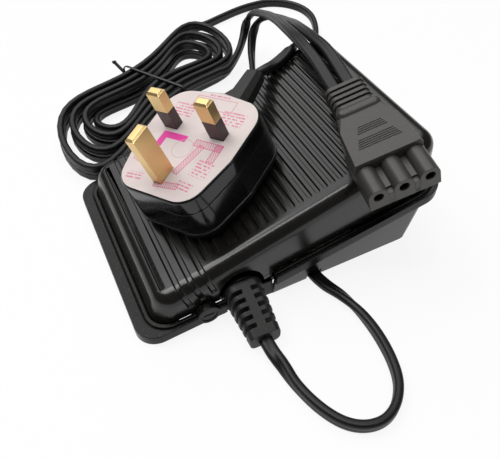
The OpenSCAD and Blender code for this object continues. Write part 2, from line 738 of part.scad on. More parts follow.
// Seats of the two leads in the connector, worked out on the foot plate
function on_slope(u, y, h) = [u * cos(tread_angle) - h * sin(tread_angle), y,
    tread_height + u * sin(tread_angle) + h * cos(tread_angle)];
function con_point(x, y, h) = on_slope(con_at[0] + x * cos(con_turn) + y * sin(con_turn),
    con_at[1] - x * sin(con_turn) + y * cos(con_turn), h + run_gap);
function on_plug_point(x, y, z) = on_slope(-14.4 + x * cos(58) + y * sin(58),
    -x * sin(58) + y * cos(58), z + run_gap + plug_thick);
function boot_point(l) = on_plug_point(-l * cos(boot_droop) * sin(boot_yaw),
    boot_from + l * cos(boot_droop) * cos(boot_yaw), boot_z - l * sin(boot_droop));
function boot_row(l) = let (p = boot_point(l)) [p[0], p[1], p[2], boot_roll];
function con_row(x, y = con_seat + seat) = let (p = con_point(x, y, con_lead_h))
    [p[0], p[1], p[2], tread_angle];

module pedal_cord() {
    color([0.1, 0.1, 0.1])
        sweep(smooth_rows(concat(pedal_route, [con_row(3.2, con_back + 4), con_row(3.2)]), 2),
            oct(lead_a, lead_b));
}
inner_route = [[-23.6, -38.9, 9.6, 0], [-23.6, -37.6, 9.6, 0], [-23.6, -35, 7.8, 0],
    [-23.6, -32.2, 5.3, 0], [-23.6, -29.6, 5, 0], [-23.6, -23.6, 5, 0], [-23.4, -18, 6.4, 0],
    [-22.4, -12.6, 9.6, 0], [-19.8, -7.2, 12.2, 0], [-16, -3.9, 12.8, 0], [-12.2, -3.4, 12.8, 0]];
module inner_lead() {
    color([0.85, 0.85, 0.83]) sweep(smooth_rows(inner_route, 2), oct(lead_a, lead_b));
}
module mains_cord() {
    color([0.1, 0.1, 0.1])
        sweep(smooth_rows(concat([boot_row(boot_seat + seat), boot_row(boot_len + 1)],
            mains_route, hank_lead(0, -90)), 2), oct(lead_a, lead_b));
}
module connector_cord() {
    color([0.1, 0.1, 0.1])
        sweep(smooth_rows(concat(hank_lead(1), link_route, [con_row(-3.2, con_back + 4), con_row(-3.2)]), 2),
            oct(lead_a, lead_b));
}

// Hank: loops drawn in at the waist, in on the lower layer and out on the upper
hank_at = [-6.5, 109];
hank_turn = 33;
hank_loops = 3.1;
hank_z = 2.75;
hank_rise = lead_width + 0.7;
hank_waist_lift = 1.3;
function spiral_s(t) = t < hank_loops ? 1 - t / hank_loops
    : t < hank_loops + 0.5 ? 0 : (t - hank_loops - 0.5) / hank_loops;
function ease(k) = k * k * (3 - 2 * k);
function hank_layer(t) = t < hank_loops ? 0 : t < hank_loops + 0.5
    ? ease((t - hank_loops) * 2) : 1;
function hank_row(t) = let (s = spiral_s(t), a = 360 * t + hank_a0, c = cos(a), d = sin(a),
    ww = 3 + 15.8 * s, we = 20 + 37 * s, ll = 44 + 29 * s,
    y = d * (ww + (we - ww) * c * c), x = ll * c + 0.55 * y)
    [hank_at[0] + x * cos(hank_turn) - y * sin(hank_turn),
        hank_at[1] + x * sin(hank_turn) + y * cos(hank_turn),
        hank_z + hank_rise * hank_layer(t) + hank_waist_lift * d * d, 90];
hank_a0 = 50;
hank_steps = 24;
hank_total = 2 * hank_loops + 0.5;
function hank_rows() = [for (i = [0:hank_total * hank_steps]) hank_row(i / hank_steps)];
module cord_hank() {
    color([0.1, 0.1, 0.1]) sweep(hank_rows(), hex6(lead_a, lead_b));
}
hr = hank_rows();
hr_n = len(hr);
hank_gap = min([for (i = [0:hr_n - 7], j = [i + 6:hr_n - 1])
    norm([hr[i][0] - hr[j][0], hr[i][1] - hr[j][1]]) < 9 && hyp(hr[i][2] - hr[j][2]) < 5.5
        ? norm([hr[i][0] - hr[j][0], hr[i][1] - hr[j][1]]) - lead_thick : 9]);
echo(hank_gap = hank_gap);
echo(start = hr[0], second = hr[1], last = hr[len(hr) - 1], prev = hr[len(hr) - 2]);

// Connector for the machine: Y from its mouth to the leads, resting on the foot plate
module on_connector() {
    on_tread() translate([con_at[0], con_at[1], run_gap]) rotate([0, 0, -con_turn]) children();
}
con_at = [40.7, -28.1];
con_turn = 10.5;
con_h = 5.8;
barrel_r = 3.7;
sleeve_r = contact_bore / 2 + 0.65;
con_x = [-contact_pitch, 0, contact_pitch];

module contact_block() {
    color([0.11, 0.11, 0.11]) on_connector() difference() {
        union() {
            for (x = con_x) ycyl(x, con_h, barrel_r, -31, -9);
            rbox(-contact_pitch - barrel_r, contact_pitch + barrel_r, -31, -9, 0, 2.2);
            rbox(-contact_pitch, contact_pitch, -28.5, -9, con_h - 0.6, con_h + 0.6);
            for (x = con_x) rbox(x - barrel_r, x + barrel_r, -31, -9, 1, con_h);
        }
        for (x = con_x) {
            ycyl(x, con_h, sleeve_r + seat, -30, 0);
            ycyl(x, con_h, contact_bore / 2 + 0.2, -40, 0);
        }
        // key way between the first two contacts
        rbox(-contact_pitch / 2 - 0.5, -contact_pitch / 2 + 0.5, -32, -24, -1, 1.2);
    }
}

module contact_sleeves() {
    color([0.75, 0.6, 0.3]) on_connector() for (x = con_x) difference() {
        ycyl(x, con_h, sleeve_r, -30 + seat, -6);
        ycyl(x, con_h, contact_bore / 2, -40, -8);
    }
}

module connector_shell() {
    color([0.14, 0.14, 0.14]) on_connector() difference() {
        union() {
            hull() {
                for (k = [0, 1]) translate([0, -19 + k * 17, 0]) {
                    rbox(k * 1.3 - 12.9, 12.9 - k * 1.3, 0, 0.5, 0, 9.8);
                    rbox(k * 1.2 - 12.2, 12.2 - k * 1.2, 0.3, 0.8, 0, 11.1);
                }
            }
            hull() {
                rbox(-11.6, 11.6, -2, -1.5, 0, 9.4);
                rbox(-11, 11, -1.8, -1.5, 0, 10.4);
                translate([0, 9.6, 5.2]) rotate([90, 0, 0]) linear_extrude(1)
                    plan2(18, 10, 3.2);
            }
            // rounded shoulder across the back of the top face
            hull() for (s = [-1, 1]) translate([s * 6.3, 8.3, 8.7]) sphere(r = 2.9, $fn = 24);
            translate([0, con_back, 5.1]) rotate([90, 0, 0]) linear_extrude(con_back - 9)
                plan2(16.4, 9.6, 3);
        }
        // cavity that holds the contact block
        rbox(-13.1 - seat, 13.1 + seat, -30, -8.9, -0.02, 2.25);
        for (x = con_x) {
            ycyl(x, con_h, barrel_r + seat, -30, -8.9);
            rbox(x - barrel_r - seat, x + barrel_r + seat, -30, -8.9, 0.9, con_h);
        }
        rbox(-contact_pitch, contact_pitch, -30, -8.9, 0.9, con_h + 0.65);
        rbox(-12.2, 12.2, -9, 2, 2.2, 9);
        // two groups of fine lines on the top face
        for (i = [0:4]) rbox(0.35 * i - 8.1, 8.1 - 0.35 * i, -12.6 + i, -12.15 + i, 10.75, 13);
        for (i = [7:10]) rbox(0.35 * i - 8.1, 8.1 - 0.35 * i, -12.6 + i, -12.15 + i, 10.75, 13);
        // four grooves round the collar
        for (i = [0:3]) difference() {
            rbox(-20, 20, 12.8 + i * 2.9, 14 + i * 2.9, -5, 20);
            rbox(-6.9, 6.9, 10, 40, 1.6, 8.6);
        }
        // pockets of the two leads
        for (s = [-1, 1]) translate([s * 3.2, con_seat, con_lead_h]) rotate([-90, 0, 0])
            linear_extrude(5) oval(lead_width + 0.1, lead_thick + 0.1);
    }
}
con_lead_h = 5.2;
con_back = 24.6;
con_seat = con_back - 2.2;

// Three-pin mains plug lying on its back: Z out of the pin face, Y to its lead
module on_plug() {
    on_tread() translate([-14.4, 0, run_gap + plug_thick]) rotate([0, 0, -58]) children();
}
module plug_outline(d, h) {
    linear_extrude(h) plug_flat(d);
}
// Outline: circles in order round the plug, joined by their common tangents
plug_rounds = [[9.5, -21.8, 9.2], [12, -8, 9.8], [11.8, 7.5, 10], [0, 4, 15],
    [-11.8, 7.5, 10], [-12, -8, 9.8], [-9.5, -21.8, 9.2]];
function turn(a) = a - 360 * floor(a / 360);
function tangent_dir(a, b) = turn(atan2(b[1] - a[1], b[0] - a[0])
    - acos((a[2] - b[2]) / norm([b[0] - a[0], b[1] - a[1]])));
function arc_pts(c, r, a, b, n) = let (e = b < a ? b + 360 : b)
    [for (i = [0:n]) [c[0] + r * cos(a + (e - a) * i / n), c[1] + r * sin(a + (e - a) * i / n)]];
module plug_flat(d) {
    n = len(plug_rounds);
    polygon([for (i = [0:n - 1]) let (c = plug_rounds[i],
        a = tangent_dir(plug_rounds[(i + n - 1) % n], c), b = tangent_dir(c, plug_rounds[(i + 1) % n]),
        e = b < a ? b + 360 : b)
        each arc_pts(c, c[2] + d, a, e, e - a > 30 ? 10 : 3)]);
}

line_at = 11.115;
earth_at = -22.23;
pin_w = 6.35;
pin_t = 4;
earth_t = 8;
line_pin_length = earth_pin_length - 5;
sleeve_len = 8.6;
card_t = 0.4;
face_t = 7;

module pin_holes(g) {
    for (s = [-1, 1]) translate([s * line_at, 0, 0])
        cube([pin_w + 2 * g, pin_t + 2 * g, 80], center = true);
    translate([0, earth_at, 0]) cube([pin_t + 2 * g, earth_t + 2 * g, 80], center = true);
}

module plug_face() {
    color([0.12, 0.115, 0.11]) on_plug() difference() {
        hull() {
            translate([0, 0, -face_t]) plug_outline(1.3, 1);
            translate([0, 0, -0.8]) plug_outline(1, 0.2);
            translate([0, 0, -0.05]) plug_outline(0.4, 0.05);
        }
        translate([0, 0, -card_t - seat]) plug_outline(-0.35, 5);
        pin_holes(seat);
        translate([0, -9.5, -card_t - 2]) cylinder(r = 1.8, h = 5);
        // notch over the lead's stub
        translate([0, 10, boot_z]) rotate([-90, 0, 0]) cylinder(r = stub_r + seat, h = 20);
    }
}

module plug_card() {
    color([0.93, 0.92, 0.9]) on_plug() translate([0, 0, -card_t]) difference() {
        plug_outline(-0.5, card_t);
        pin_holes(0.5);
        translate([0, -9.5, -1]) cylinder(r = 2.6, h = 5);
    }
}

module plug_body() {
    color([0.12, 0.115, 0.11]) on_plug() difference() {
        union() {
            hull() {
                translate([0, 0, -face_t - seat - 0.5]) plug_outline(1.3, 0.5);
                translate([0, 0, -18.8]) plug_outline(1.7, 0.5);
            }
            translate([0, 0, -20.4]) plug_outline(2.2, 1.8);
            hull() {
                translate([0, 0, -20.6]) plug_outline(1.7, 0.5);
                translate([0, 0, -plug_thick]) plug_outline(0.2, 0.2);
            }
            // stub that carries the lead's boot
            translate([0, 15, boot_z]) rotate([-90, 0, 0]) cylinder(r = stub_r, h = 7.5);
        }
        translate([0, 0, -20]) linear_extrude(40) plug_flat(-2.2);
        translate([0, 10, boot_z]) rotate([-90, 0, 0]) cylinder(r = boot_neck + seat, h = 20);
    }
    // rests that hold the fuse and the pins' heels
}
boot_z = -11;
boot_neck = 3.6;

// The boot leaves the stub bent aside and down, as a soft boot lies
boot_from = 22.6;
boot_len = 21;
boot_yaw = 11;
boot_droop = 8;
boot_roll = -13;
boot_seat = boot_len - 2.8;
stub_r = 5.6;
module bevelled(w, h, c) {
    polygon([for (p = [[1, 1], [-1, 1], [-1, -1], [1, -1]], k = [0, 1])
        [p[0] * (w / 2 - (k == (p[0] * p[1] > 0 ? 0 : 1) ? 0 : c)),
            p[1] * (h / 2 - (k == (p[0] * p[1] > 0 ? 0 : 1) ? c : 0))]]);
}
module boot_frame() {
    translate([0, boot_from, boot_z]) rotate([0, 0, boot_yaw]) rotate([-boot_droop, 0, 0])
        rotate([-90, 0, 0]) children();
}
module plug_boot() {
    color([0.1, 0.1, 0.1]) on_plug() difference() {
        union() {
            translate([0, 13, boot_z]) rotate([-90, 0, 0]) {
                cylinder(r = boot_neck, h = boot_from - 13);
                cylinder(r = boot_neck + 1.4, h = 1.9);
            }
            hull() {
                translate([0, boot_from, boot_z]) rotate([-90, 0, 0]) linear_extrude(1)
                    bevelled(10.6, 9.4, 2.4);
                boot_frame() translate([0, 0, boot_len - 0.5]) linear_extrude(0.5)
                    bevelled(8.6, 7.4, 1.9);
            }
        }
        boot_frame() translate([0, 0, boot_seat]) linear_extrude(5)
            oval(lead_width + 0.1, lead_thick + 0.1);
    }
}

module earth_pin() {
    color([0.78, 0.6, 0.28]) on_plug() translate([0, earth_at, 0]) {
        translate([-pin_t / 2, -earth_t / 2, -13]) cube([pin_t, earth_t, earth_pin_length + 12.2]);
        hull() {
            translate([-pin_t / 2, -earth_t / 2, earth_pin_length - 0.9]) cube([pin_t, earth_t, eps]);
            translate([-pin_t / 2 + 0.8, -earth_t / 2 + 0.8, earth_pin_length - eps])
                cube([pin_t - 1.6, earth_t - 1.6, eps]);
        }
        translate([-4, -earth_t / 2, -13]) cube([8, earth_t, 2]);
    }
}

module line_pins() {
    color([0.78, 0.6, 0.28]) on_plug() for (s = [-1, 1]) translate([s * line_at, 0, 0]) {
        translate([-pin_w / 2 + 0.6, -pin_t / 2 + 0.6, -13]) cube([pin_w - 1.2, pin_t - 1.2, 30]);
        translate([-pin_w / 2, -pin_t / 2, sleeve_len])
            cube([pin_w, pin_t, line_pin_length - sleeve_len - 0.8]);
        hull() {
            translate([-pin_w / 2, -pin_t / 2, line_pin_length - 0.9]) cube([pin_w, pin_t, eps]);
            translate([-pin_w / 2 + 0.8, -pin_t / 2 + 0.8, line_pin_length - eps])
                cube([pin_w - 1.6, pin_t - 1.6, eps]);
        }
        translate([-pin_w / 2, -pin_t / 2, -13]) cube([pin_w, pin_t, 2]);
    }
}

module pin_sleeves() {
    color([0.3, 0.27, 0.25]) on_plug() for (s = [-1, 1]) translate([s * line_at, 0, 0])
        difference() {
            translate([-pin_w / 2, -pin_t / 2, -6]) cube([pin_w, pin_t, sleeve_len + 6 - seat]);
            cube([pin_w - 1.2 + 2 * seat, pin_t - 1.2 + 2 * seat, 80], center = true);
        }
}

module plug_fuse() {
    color([0.9, 0.88, 0.82]) on_plug() translate([-12.7, -11, -16.4]) rotate([0, 90, 0]) {
        translate([0, 0, 5]) cylinder(r = 3, h = 15.4);
        cylinder(r = 3.15, h = 5.5);
        translate([0, 0, 19.9]) cylinder(r = 3.15, h = 5.5);
    }
}

// Wire tie round the hank's waist, with a twisted tail
tie_c = [-6.5, 109];
tie_w = 21.8;
module twist_tie() {
    color([0.07, 0.07, 0.07]) translate([tie_c[0], tie_c[1], 0]) rotate([0, 0, hank_turn]) {
        translate([-1.5, 0, 0]) rotate([90, 0, 90]) linear_extrude(3) difference() {
            tie_loop(0.7);
            tie_loop(0);
        }
        translate([0, tie_w + 0.7, 9]) rotate([-55, 0, 0])
            linear_extrude(8, twist = 720, slices = 18, $fn = 4) square([2.4, 0.9], center = true);
    }
}
module tie_loop(g) {
    translate([0, hank_z + hank_waist_lift + hank_rise / 2])
        plan2(2 * tie_w + 2 * g, hank_rise + lead_width + 0.8 + 2 * g, 3 + g);
}
base_tray();
bottom_plate();
rubber_feet();
base_screws();
pivot_pins();
return_springs();
circuit_board();
pcb_screws();
potentiometer();
speed_lever();
triac();
heat_sink();
triac_screw();
suppression_capacitor();
choke();
resistors();
terminal_block();
inner_lead();
cable_clamp();
clamp_screws();
strain_relief();
travel_pads();
treadle_cover();
pedal_cord();
mains_cord();
connector_cord();
cord_hank();
twist_tie();
connector_shell();
contact_block();
contact_sleeves();
plug_body();
plug_face();
plug_card();
earth_pin();
line_pins();
pin_sleeves();
plug_fuse();
plug_boot();
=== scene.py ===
# %% [markdown]
# # A sewing machine pedal
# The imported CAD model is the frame: 39 named pieces on three bodies. This script gives it its
# looks, which are leads, moulded plastic, brass, steel and rubber. Everything is in metres, in
# the frame's own axes, and numbers given in millimetres are multiplied by MM where they are used.

import json
import math

import bmesh
import bpy
from mathutils import Matrix, Vector
from mathutils.bvhtree import BVHTree

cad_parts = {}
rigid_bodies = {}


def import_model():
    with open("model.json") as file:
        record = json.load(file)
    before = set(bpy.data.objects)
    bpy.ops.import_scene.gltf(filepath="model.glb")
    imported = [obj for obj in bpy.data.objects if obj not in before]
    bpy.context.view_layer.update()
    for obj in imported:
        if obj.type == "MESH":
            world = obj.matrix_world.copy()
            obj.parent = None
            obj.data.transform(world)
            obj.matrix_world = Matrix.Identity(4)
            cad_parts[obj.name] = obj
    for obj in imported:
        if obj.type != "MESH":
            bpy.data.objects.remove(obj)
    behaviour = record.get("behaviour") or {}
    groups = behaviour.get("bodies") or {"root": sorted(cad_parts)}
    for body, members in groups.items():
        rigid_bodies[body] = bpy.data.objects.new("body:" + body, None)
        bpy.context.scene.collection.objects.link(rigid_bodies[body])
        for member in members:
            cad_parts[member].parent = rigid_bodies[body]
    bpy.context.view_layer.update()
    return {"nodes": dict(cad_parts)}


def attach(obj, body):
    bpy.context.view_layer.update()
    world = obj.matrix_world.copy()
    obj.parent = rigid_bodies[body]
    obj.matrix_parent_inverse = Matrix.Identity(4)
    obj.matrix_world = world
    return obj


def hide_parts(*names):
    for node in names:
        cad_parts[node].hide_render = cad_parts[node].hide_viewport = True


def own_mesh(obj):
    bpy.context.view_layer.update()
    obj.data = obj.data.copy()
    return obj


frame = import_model()
MM = 0.001

# %% [markdown]
# ## Camera
# The camera comes first, because the leads have to stay near what it sees. It could be aimed
# at a target by a constraint, but a place and two angles are plainer. It looks down on the
# pedal from the heel end, beside the strain relief.

# %% Camera
IMAGE_WIDTH, FOCAL_LENGTH = 500, 559.7  # both in pixels
SENSOR_WIDTH = 36  # millimetres
CAMERA_PLACE, CAMERA_TILT, CAMERA_HEADING = (-0.0769, -0.1624, 0.1837), 42.94, -25.57

scene = bpy.context.scene
cam_data = bpy.data.cameras.new("camera")
cam_data.sensor_fit = "HORIZONTAL"
cam_data.sensor_width = SENSOR_WIDTH
cam_data.lens = FOCAL_LENGTH / IMAGE_WIDTH * SENSOR_WIDTH
cam_data.clip_start = 0.01
camera = bpy.data.objects.new("camera", cam_data)
camera.location = CAMERA_PLACE
camera.rotation_euler = (math.radians(CAMERA_TILT), 0, math.radians(CAMERA_HEADING))
scene.collection.objects.link(camera)
scene.camera = camera
print("camera lens", round(cam_data.lens, 1), "mm")

# %% [markdown]
# ## Frames of the slanted pieces
# The foot plate slopes, and the plug and the connector lie on it, turned. Each gets a frame,
# a matrix that turns its own upright coordinates into the scene's. The same numbers place
# them in the CAD, so the looks land on the solids.

# %% Frames
PLATE_HEIGHT, PLATE_SLOPE = 0.037, 19.06
TREAD = (Matrix.Translation((0, 0, PLATE_HEIGHT))
         @ Matrix.Rotation(math.radians(-PLATE_SLOPE), 4, "Y"))


def lying(place, turn):
    """The frame of a piece that lies on the foot plate, at a place and a turn on it."""
    return TREAD @ Matrix.Translation(place) @ Matrix.Rotation(math.radians(turn), 4, "Z")


def at(matrix, x, y, z):
    """A point given in millimetres in one of the frames, in metres in the scene."""
    return matrix @ Vector((x * MM, y * MM, z * MM))


CONNECTOR = lying((0.0407, -0.0281, 0.00035), -10.5)
PLUG = lying((-0.0144, 0, 0.02455), -58)
print("connector at", [round(c / MM, 1) for c in CONNECTOR.translation], "mm")
print("plug at", [round(c / MM, 1) for c in PLUG.translation], "mm")


# %% [markdown]
# ## The flat leads
# Each lead is a flat twin cord, 5.4 by 3.4 mm. The pedal lead leaves the strain relief, loops
# in front, passes under the tray and comes up behind to the connector. The mains lead leaves
# the connector, makes the hank and ends in the boot of the plug. A route is a list of rows:
# a place in millimetres, and the turn of the lead's width in degrees, 0 where the lead lies
# flat and 90 where it stands on edge. A curve object with a bevel could follow it too, but
# its twist method adds turns of its own on such a route, so the rows carry the turn.

# %% Routes
PEDAL = [
    (-23.6, -63.45, 4, 0), (-23.6, -66.5, 4, 2), (-23.4, -70.5, 3.7, 18), (-22.6, -76, 3.2, 50),
    (-21.6, -85, 2.8, 85), (-18.8, -95, 2.8, 90), (-14.4, -103, 2.8, 90),
    (-8.6, -107.6, 2.8, 90), (-1.6, -108.8, 2.8, 90), (5.2, -106, 2.8, 90),
    (10.9, -99.7, 2.8, 90), (14.2, -91, 2.8, 90), (15.8, -80, 2.8, 90),
    (15.5, -69, 2.8, 75), (13.4, -58.5, 2.4, 35), (10.4, -50, 1.9, 8),
    (9, -41, 1.8, 0), (9, -20, 1.8, 0), (9, 0, 1.8, 0), (9, 20, 1.8, 0),
    (9, 41, 1.8, 0), (11, 52, 1.9, 8), (15, 62, 2.4, 35), (22, 71, 2.8, 75),
    (32, 79, 2.8, 90), (42, 87, 2.8, 90), (49, 97, 3, 90), (54, 108, 4.2, 80),
    (58.5, 118.5, 8, 55), (62.5, 125, 15, 30), (66, 124, 23, 10),
    (68, 115, 29.5, 0), (67.6, 102, 34.5, 0), (64.6, 88, 40, 0),
    (59.6, 72, 47, 0), (54, 55, 53.5, 0), (50.4, 38, 57.8, 4),
    (48.4, 22, 59.6, 10),
]
MAINS = [
    (19.8, 29.8, 52.4, -14), (25, 34.2, 50.4, -12), (30.6, 36.8, 49.9, -6),
    (36.4, 38.6, 51.6, -12), (41.4, 41.9, 52.1, -34), (45, 46.4, 48.4, -62),
    (48.2, 50.4, 39.5, -80), (51, 53.6, 29, -88), (54.8, 58, 20, -90),
    (60, 64, 12, -90), (67, 72, 6.4, -90), (75.6, 82, 3.6, -90),
    (85, 94, 2.8, -90), (97, 110, 2.8, -90), (108, 125, 2.8, -90),
    (115.4, 139, 2.8, -90), (119.4, 152, 2.8, -90), (118.6, 164.5, 2.8, -90),
    (112.4, 175, 2.8, -90), (102, 181.4, 2.8, -90), (89, 182, 2.8, -90),
    (76, 179.6, 2.8, -90), (62, 175, 2.8, -90), (48, 170.4, 2.8, -90),
]
LINK = [
    (49, 117.6, 9.6, 90), (56.4, 126.4, 12.8, 70),
    (60.8, 130.4, 19.8, 35), (62.6, 125.6, 28, 10), (62, 112, 34, 0),
    (59.4, 97, 39.8, 0), (54.6, 79, 46.2, 0), (49, 61, 52.2, 0),
    (44.8, 44.6, 56.5, 4), (42.3, 29, 58.2, 10), (41.2, 17.5, 57.6, 13),
]
INNER = [
    (-23.6, -38.9, 9.6, 0), (-23.6, -37.6, 9.6, 0), (-23.6, -35, 7.8, 0),
    (-23.6, -32.2, 5.3, 0), (-23.6, -29.6, 5, 0), (-23.6, -23.6, 5, 0),
    (-23.4, -18, 6.4, 0), (-22.4, -12.6, 9.6, 0), (-19.8, -7.2, 12.2, 0),
    (-16, -3.9, 12.8, 0), (-12.2, -3.4, 12.8, 0),
]
print("rows", len(PEDAL), "pedal,", len(MAINS) + len(LINK), "mains,", len(INNER), "inner")

# %% Ends of the routes
POCKET_HEIGHT, POCKET_MOUTH, POCKET_END = 5.2, 28.6, 22.45
BOOT_ROOT, BOOT_YAW, BOOT_DROOP = (0, 22.6, -11), math.radians(11), math.radians(8)
BOOT_HOLD, BOOT_TIP, BOOT_TURN = 18.25, 22, -13


def row(point, turn):
    """A row of a route from a point in metres and the turn of the width in degrees."""
    return (point.x / MM, point.y / MM, point.z / MM, turn)


def into_connector(x):
    """The last rows of a lead, which run straight into its pocket in the connector."""
    return [row(at(CONNECTOR, x, y, POCKET_HEIGHT), PLATE_SLOPE)
            for y in (POCKET_MOUTH, POCKET_END)]


def boot_row(along):
    """A row so many millimetres along the boot, which leaves the plug at a slant."""
    level = along * math.cos(BOOT_DROOP)
    point = at(PLUG, BOOT_ROOT[0] - level * math.sin(BOOT_YAW),
               BOOT_ROOT[1] + level * math.cos(BOOT_YAW),
               BOOT_ROOT[2] - along * math.sin(BOOT_DROOP))
    return row(point, BOOT_TURN)


print("boot leaves the plug at", [round(c, 1) for c in boot_row(BOOT_HOLD)[:3]], "mm")


# %% Smooth curve through the rows
def smooth_rows(rows, steps=6):
    """A Catmull-Rom curve through the rows, with so many steps to each."""
    out, last = [], len(rows) - 1
    for i in range(last):
        a, b = rows[max(i - 1, 0)], rows[i]
        c, d = rows[i + 1], rows[min(i + 2, last)]
        for k in range(steps):
            t = k / steps
            out.append(tuple(
                0.5 * (2 * q + (r - p) * t + (2 * p - 5 * q + 4 * r - s) * t * t
                       + (3 * q - p - 3 * r + s) * t ** 3)
                for p, q, r, s in zip(a, b, c, d)
            ))
    return out + [tuple(rows[last])]


print("pedal route", len(smooth_rows(PEDAL)), "smooth rows")

# %% [markdown]
# ## The hank
# The mains lead is coiled by hand into a long hank and tied round its waist. A route by hand
# would need hundreds of rows, so one rule gives them: the loops wind inward on the floor,
# climb half a turn, and wind outward again on top. Each is an ellipse drawn in at the waist.

# %% Rule of the hank, in millimetres
HANK_MIDDLE, HANK_ANGLE, HANK_START = (-6.5, 109), math.radians(33), 50
LAYER_LOOPS, CLIMB = 3.1, 0.5
HANK_TURNS, HANK_STEPS = 6.7, 48
LAYER_HEIGHTS, CROSSING_RISE = (2.75, 6.1), 1.3


def between(inner, more, spread):
    """A size of the inmost loop, and what the outmost loop has more."""
    return inner + more * spread


def hank_row(turns):
    """A row of the hank: loops drawn in at the waist, inward below and outward above."""
    if turns < LAYER_LOOPS:
        spread, layer = 1 - turns / LAYER_LOOPS, 0
    elif turns < LAYER_LOOPS + CLIMB:
        k = (turns - LAYER_LOOPS) / CLIMB
        spread, layer = 0, k * k * (3 - 2 * k)
    else:
        spread, layer = (turns - LAYER_LOOPS - CLIMB) / LAYER_LOOPS, 1
    a = math.radians(360 * turns + HANK_START)
    c, d = math.cos(a), math.sin(a)
    waist, end = between(3, 15.8, spread), between(25, 32, spread)
    y = d * (waist + (end - waist) * c * c)
    x = between(44, 28.6, spread) * c + between(0.1, 0.45, spread) * y
    return (
        HANK_MIDDLE[0] + x * math.cos(HANK_ANGLE) - y * math.sin(HANK_ANGLE),
        HANK_MIDDLE[1] + x * math.sin(HANK_ANGLE) + y * math.cos(HANK_ANGLE),
        LAYER_HEIGHTS[0] + LAYER_HEIGHTS[1] * layer + CROSSING_RISE * d * d,
        90,
    )


hank = [hank_row(i / HANK_STEPS) for i in range(int(round(HANK_TURNS * HANK_STEPS)) + 1)]
print("hank", HANK_TURNS, "turns,", len(hank), "rows")

# %% [markdown]
# ## The sweep
# The section is an oval with two flat faces, and a shallow valley down the middle of each
# shows the two cores. The sweep sets one ring of the section at each row, square to the
# route and turned as the row says, and joins the rings by faces. Its ends are closed.

# %% Section of the lead
def flat_section(width, thick, count=5, edge_flat=0.25, valley_half=0.5, valley_deep=0.14):
    """An oval with flat faces and a shallow valley down the middle of each."""
    r = thick / 2 - edge_flat
    out = []
    for cx, cy, start in (
        (width / 2 - r, thick / 2 - r, 0), (-width / 2 + r, thick / 2 - r, 90),
        (-width / 2 + r, -thick / 2 + r, 180), (width / 2 - r, -thick / 2 + r, 270),
    ):
        for k in range(count):
            a = math.radians(start + 90 * k / (count - 1))
            out.append((cx + r * math.cos(a), cy + r * math.sin(a)))
        if start in (0, 180):
            side = 1 if start == 0 else -1
            out += [(side * valley_half, side * thick / 2),
                    (0, side * (thick / 2 - valley_deep)),
                    (-side * valley_half, side * thick / 2)]
    return out


SECTION = flat_section(5.4, 3.4)
print("section", len(SECTION), "points")


# %% Rings of the section at the rows
def rings(rows, section):
    """Where the section's points come at each row, in metres."""
    points = [Vector(r[:3]) for r in rows]
    out = []
    for i, r in enumerate(rows):
        t = (points[min(i + 1, len(points) - 1)] - points[max(i - 1, 0)]).normalized()
        across = Vector((0, 0, 1)).cross(t).normalized()
        up = t.cross(across)
        q = math.radians(r[3])
        wide = math.cos(q) * across + math.sin(q) * up
        thin = -math.sin(q) * across + math.cos(q) * up
        out.append([(points[i] + wide * s[0] + thin * s[1]) * MM for s in section])
    return out


print("rings of the pedal route", len(rings(PEDAL, SECTION)))


# %% Objects from meshes
def linked(name, mesh):
    """An object of this mesh, put in the scene."""
    obj = bpy.data.objects.new(name, mesh)
    scene.collection.objects.link(obj)
    return obj


def from_bmesh(name, bm):
    """An object of what the bmesh holds. The bmesh is given up."""
    mesh = bpy.data.meshes.new(name)
    bm.to_mesh(mesh)
    bm.free()
    return linked(name, mesh)


def mesh_object(name, vertices, faces):
    """A smooth object of these vertices and faces, with its normals outwards."""
    mesh = bpy.data.meshes.new(name)
    mesh.from_pydata([tuple(v) for v in vertices], [], faces)
    bm = bmesh.new()
    bm.from_mesh(mesh)
    bmesh.ops.recalc_face_normals(bm, faces=bm.faces)
    bm.to_mesh(mesh)
    bm.free()
    for p in mesh.polygons:
        p.use_smooth = True
    return linked(name, mesh)


print("helpers for objects: linked, from_bmesh, mesh_object")


# %% Sweep of the section along the rows
def tube(name, rows, section=SECTION):
    """The section swept along the rows, with flat ends."""
    loops = rings(rows, section)
    m = len(section)
    vertices = [v for loop in loops for v in loop]
    faces = [tuple(range(m)), tuple((len(loops) - 1) * m + j for j in reversed(range(m)))]
    for i in range(len(loops) - 1):
        for j in range(m):
            k = (j + 1) % m
            faces.append((i * m + j, (i + 1) * m + j, (i + 1) * m + k, i * m + k))
    obj = mesh_object(name, vertices, faces)
    for p in obj.data.polygons:
        if len(p.vertices) > 4:
            p.use_smooth = False
    return obj


def length_of(rows):
    """The length of a route in metres."""
    return sum((Vector(b[:3]) - Vector(a[:3])).length for a, b in zip(rows, rows[1:])) * MM


print("pedal route by its rows alone", round(length_of(PEDAL), 3), "m")

# %% Pedal lead
CORE_OFFSET = 3.2  # millimetres from the middle of the connector to each lead's pocket

pedal_rows = smooth_rows(PEDAL + into_connector(CORE_OFFSET))
pedal_lead = tube("pedal_lead", pedal_rows)
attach(pedal_lead, "base")
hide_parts("pedal_cord")
print("pedal lead", round(length_of(pedal_rows), 3), "m")


# %% Mains lead
def beyond(end, before, distance=7):
    """A row that carries the hank straight on past its end."""
    p, q = Vector(end[:3]), Vector(before[:3])
    return tuple(p + (p - q).normalized() * distance) + (end[3],)


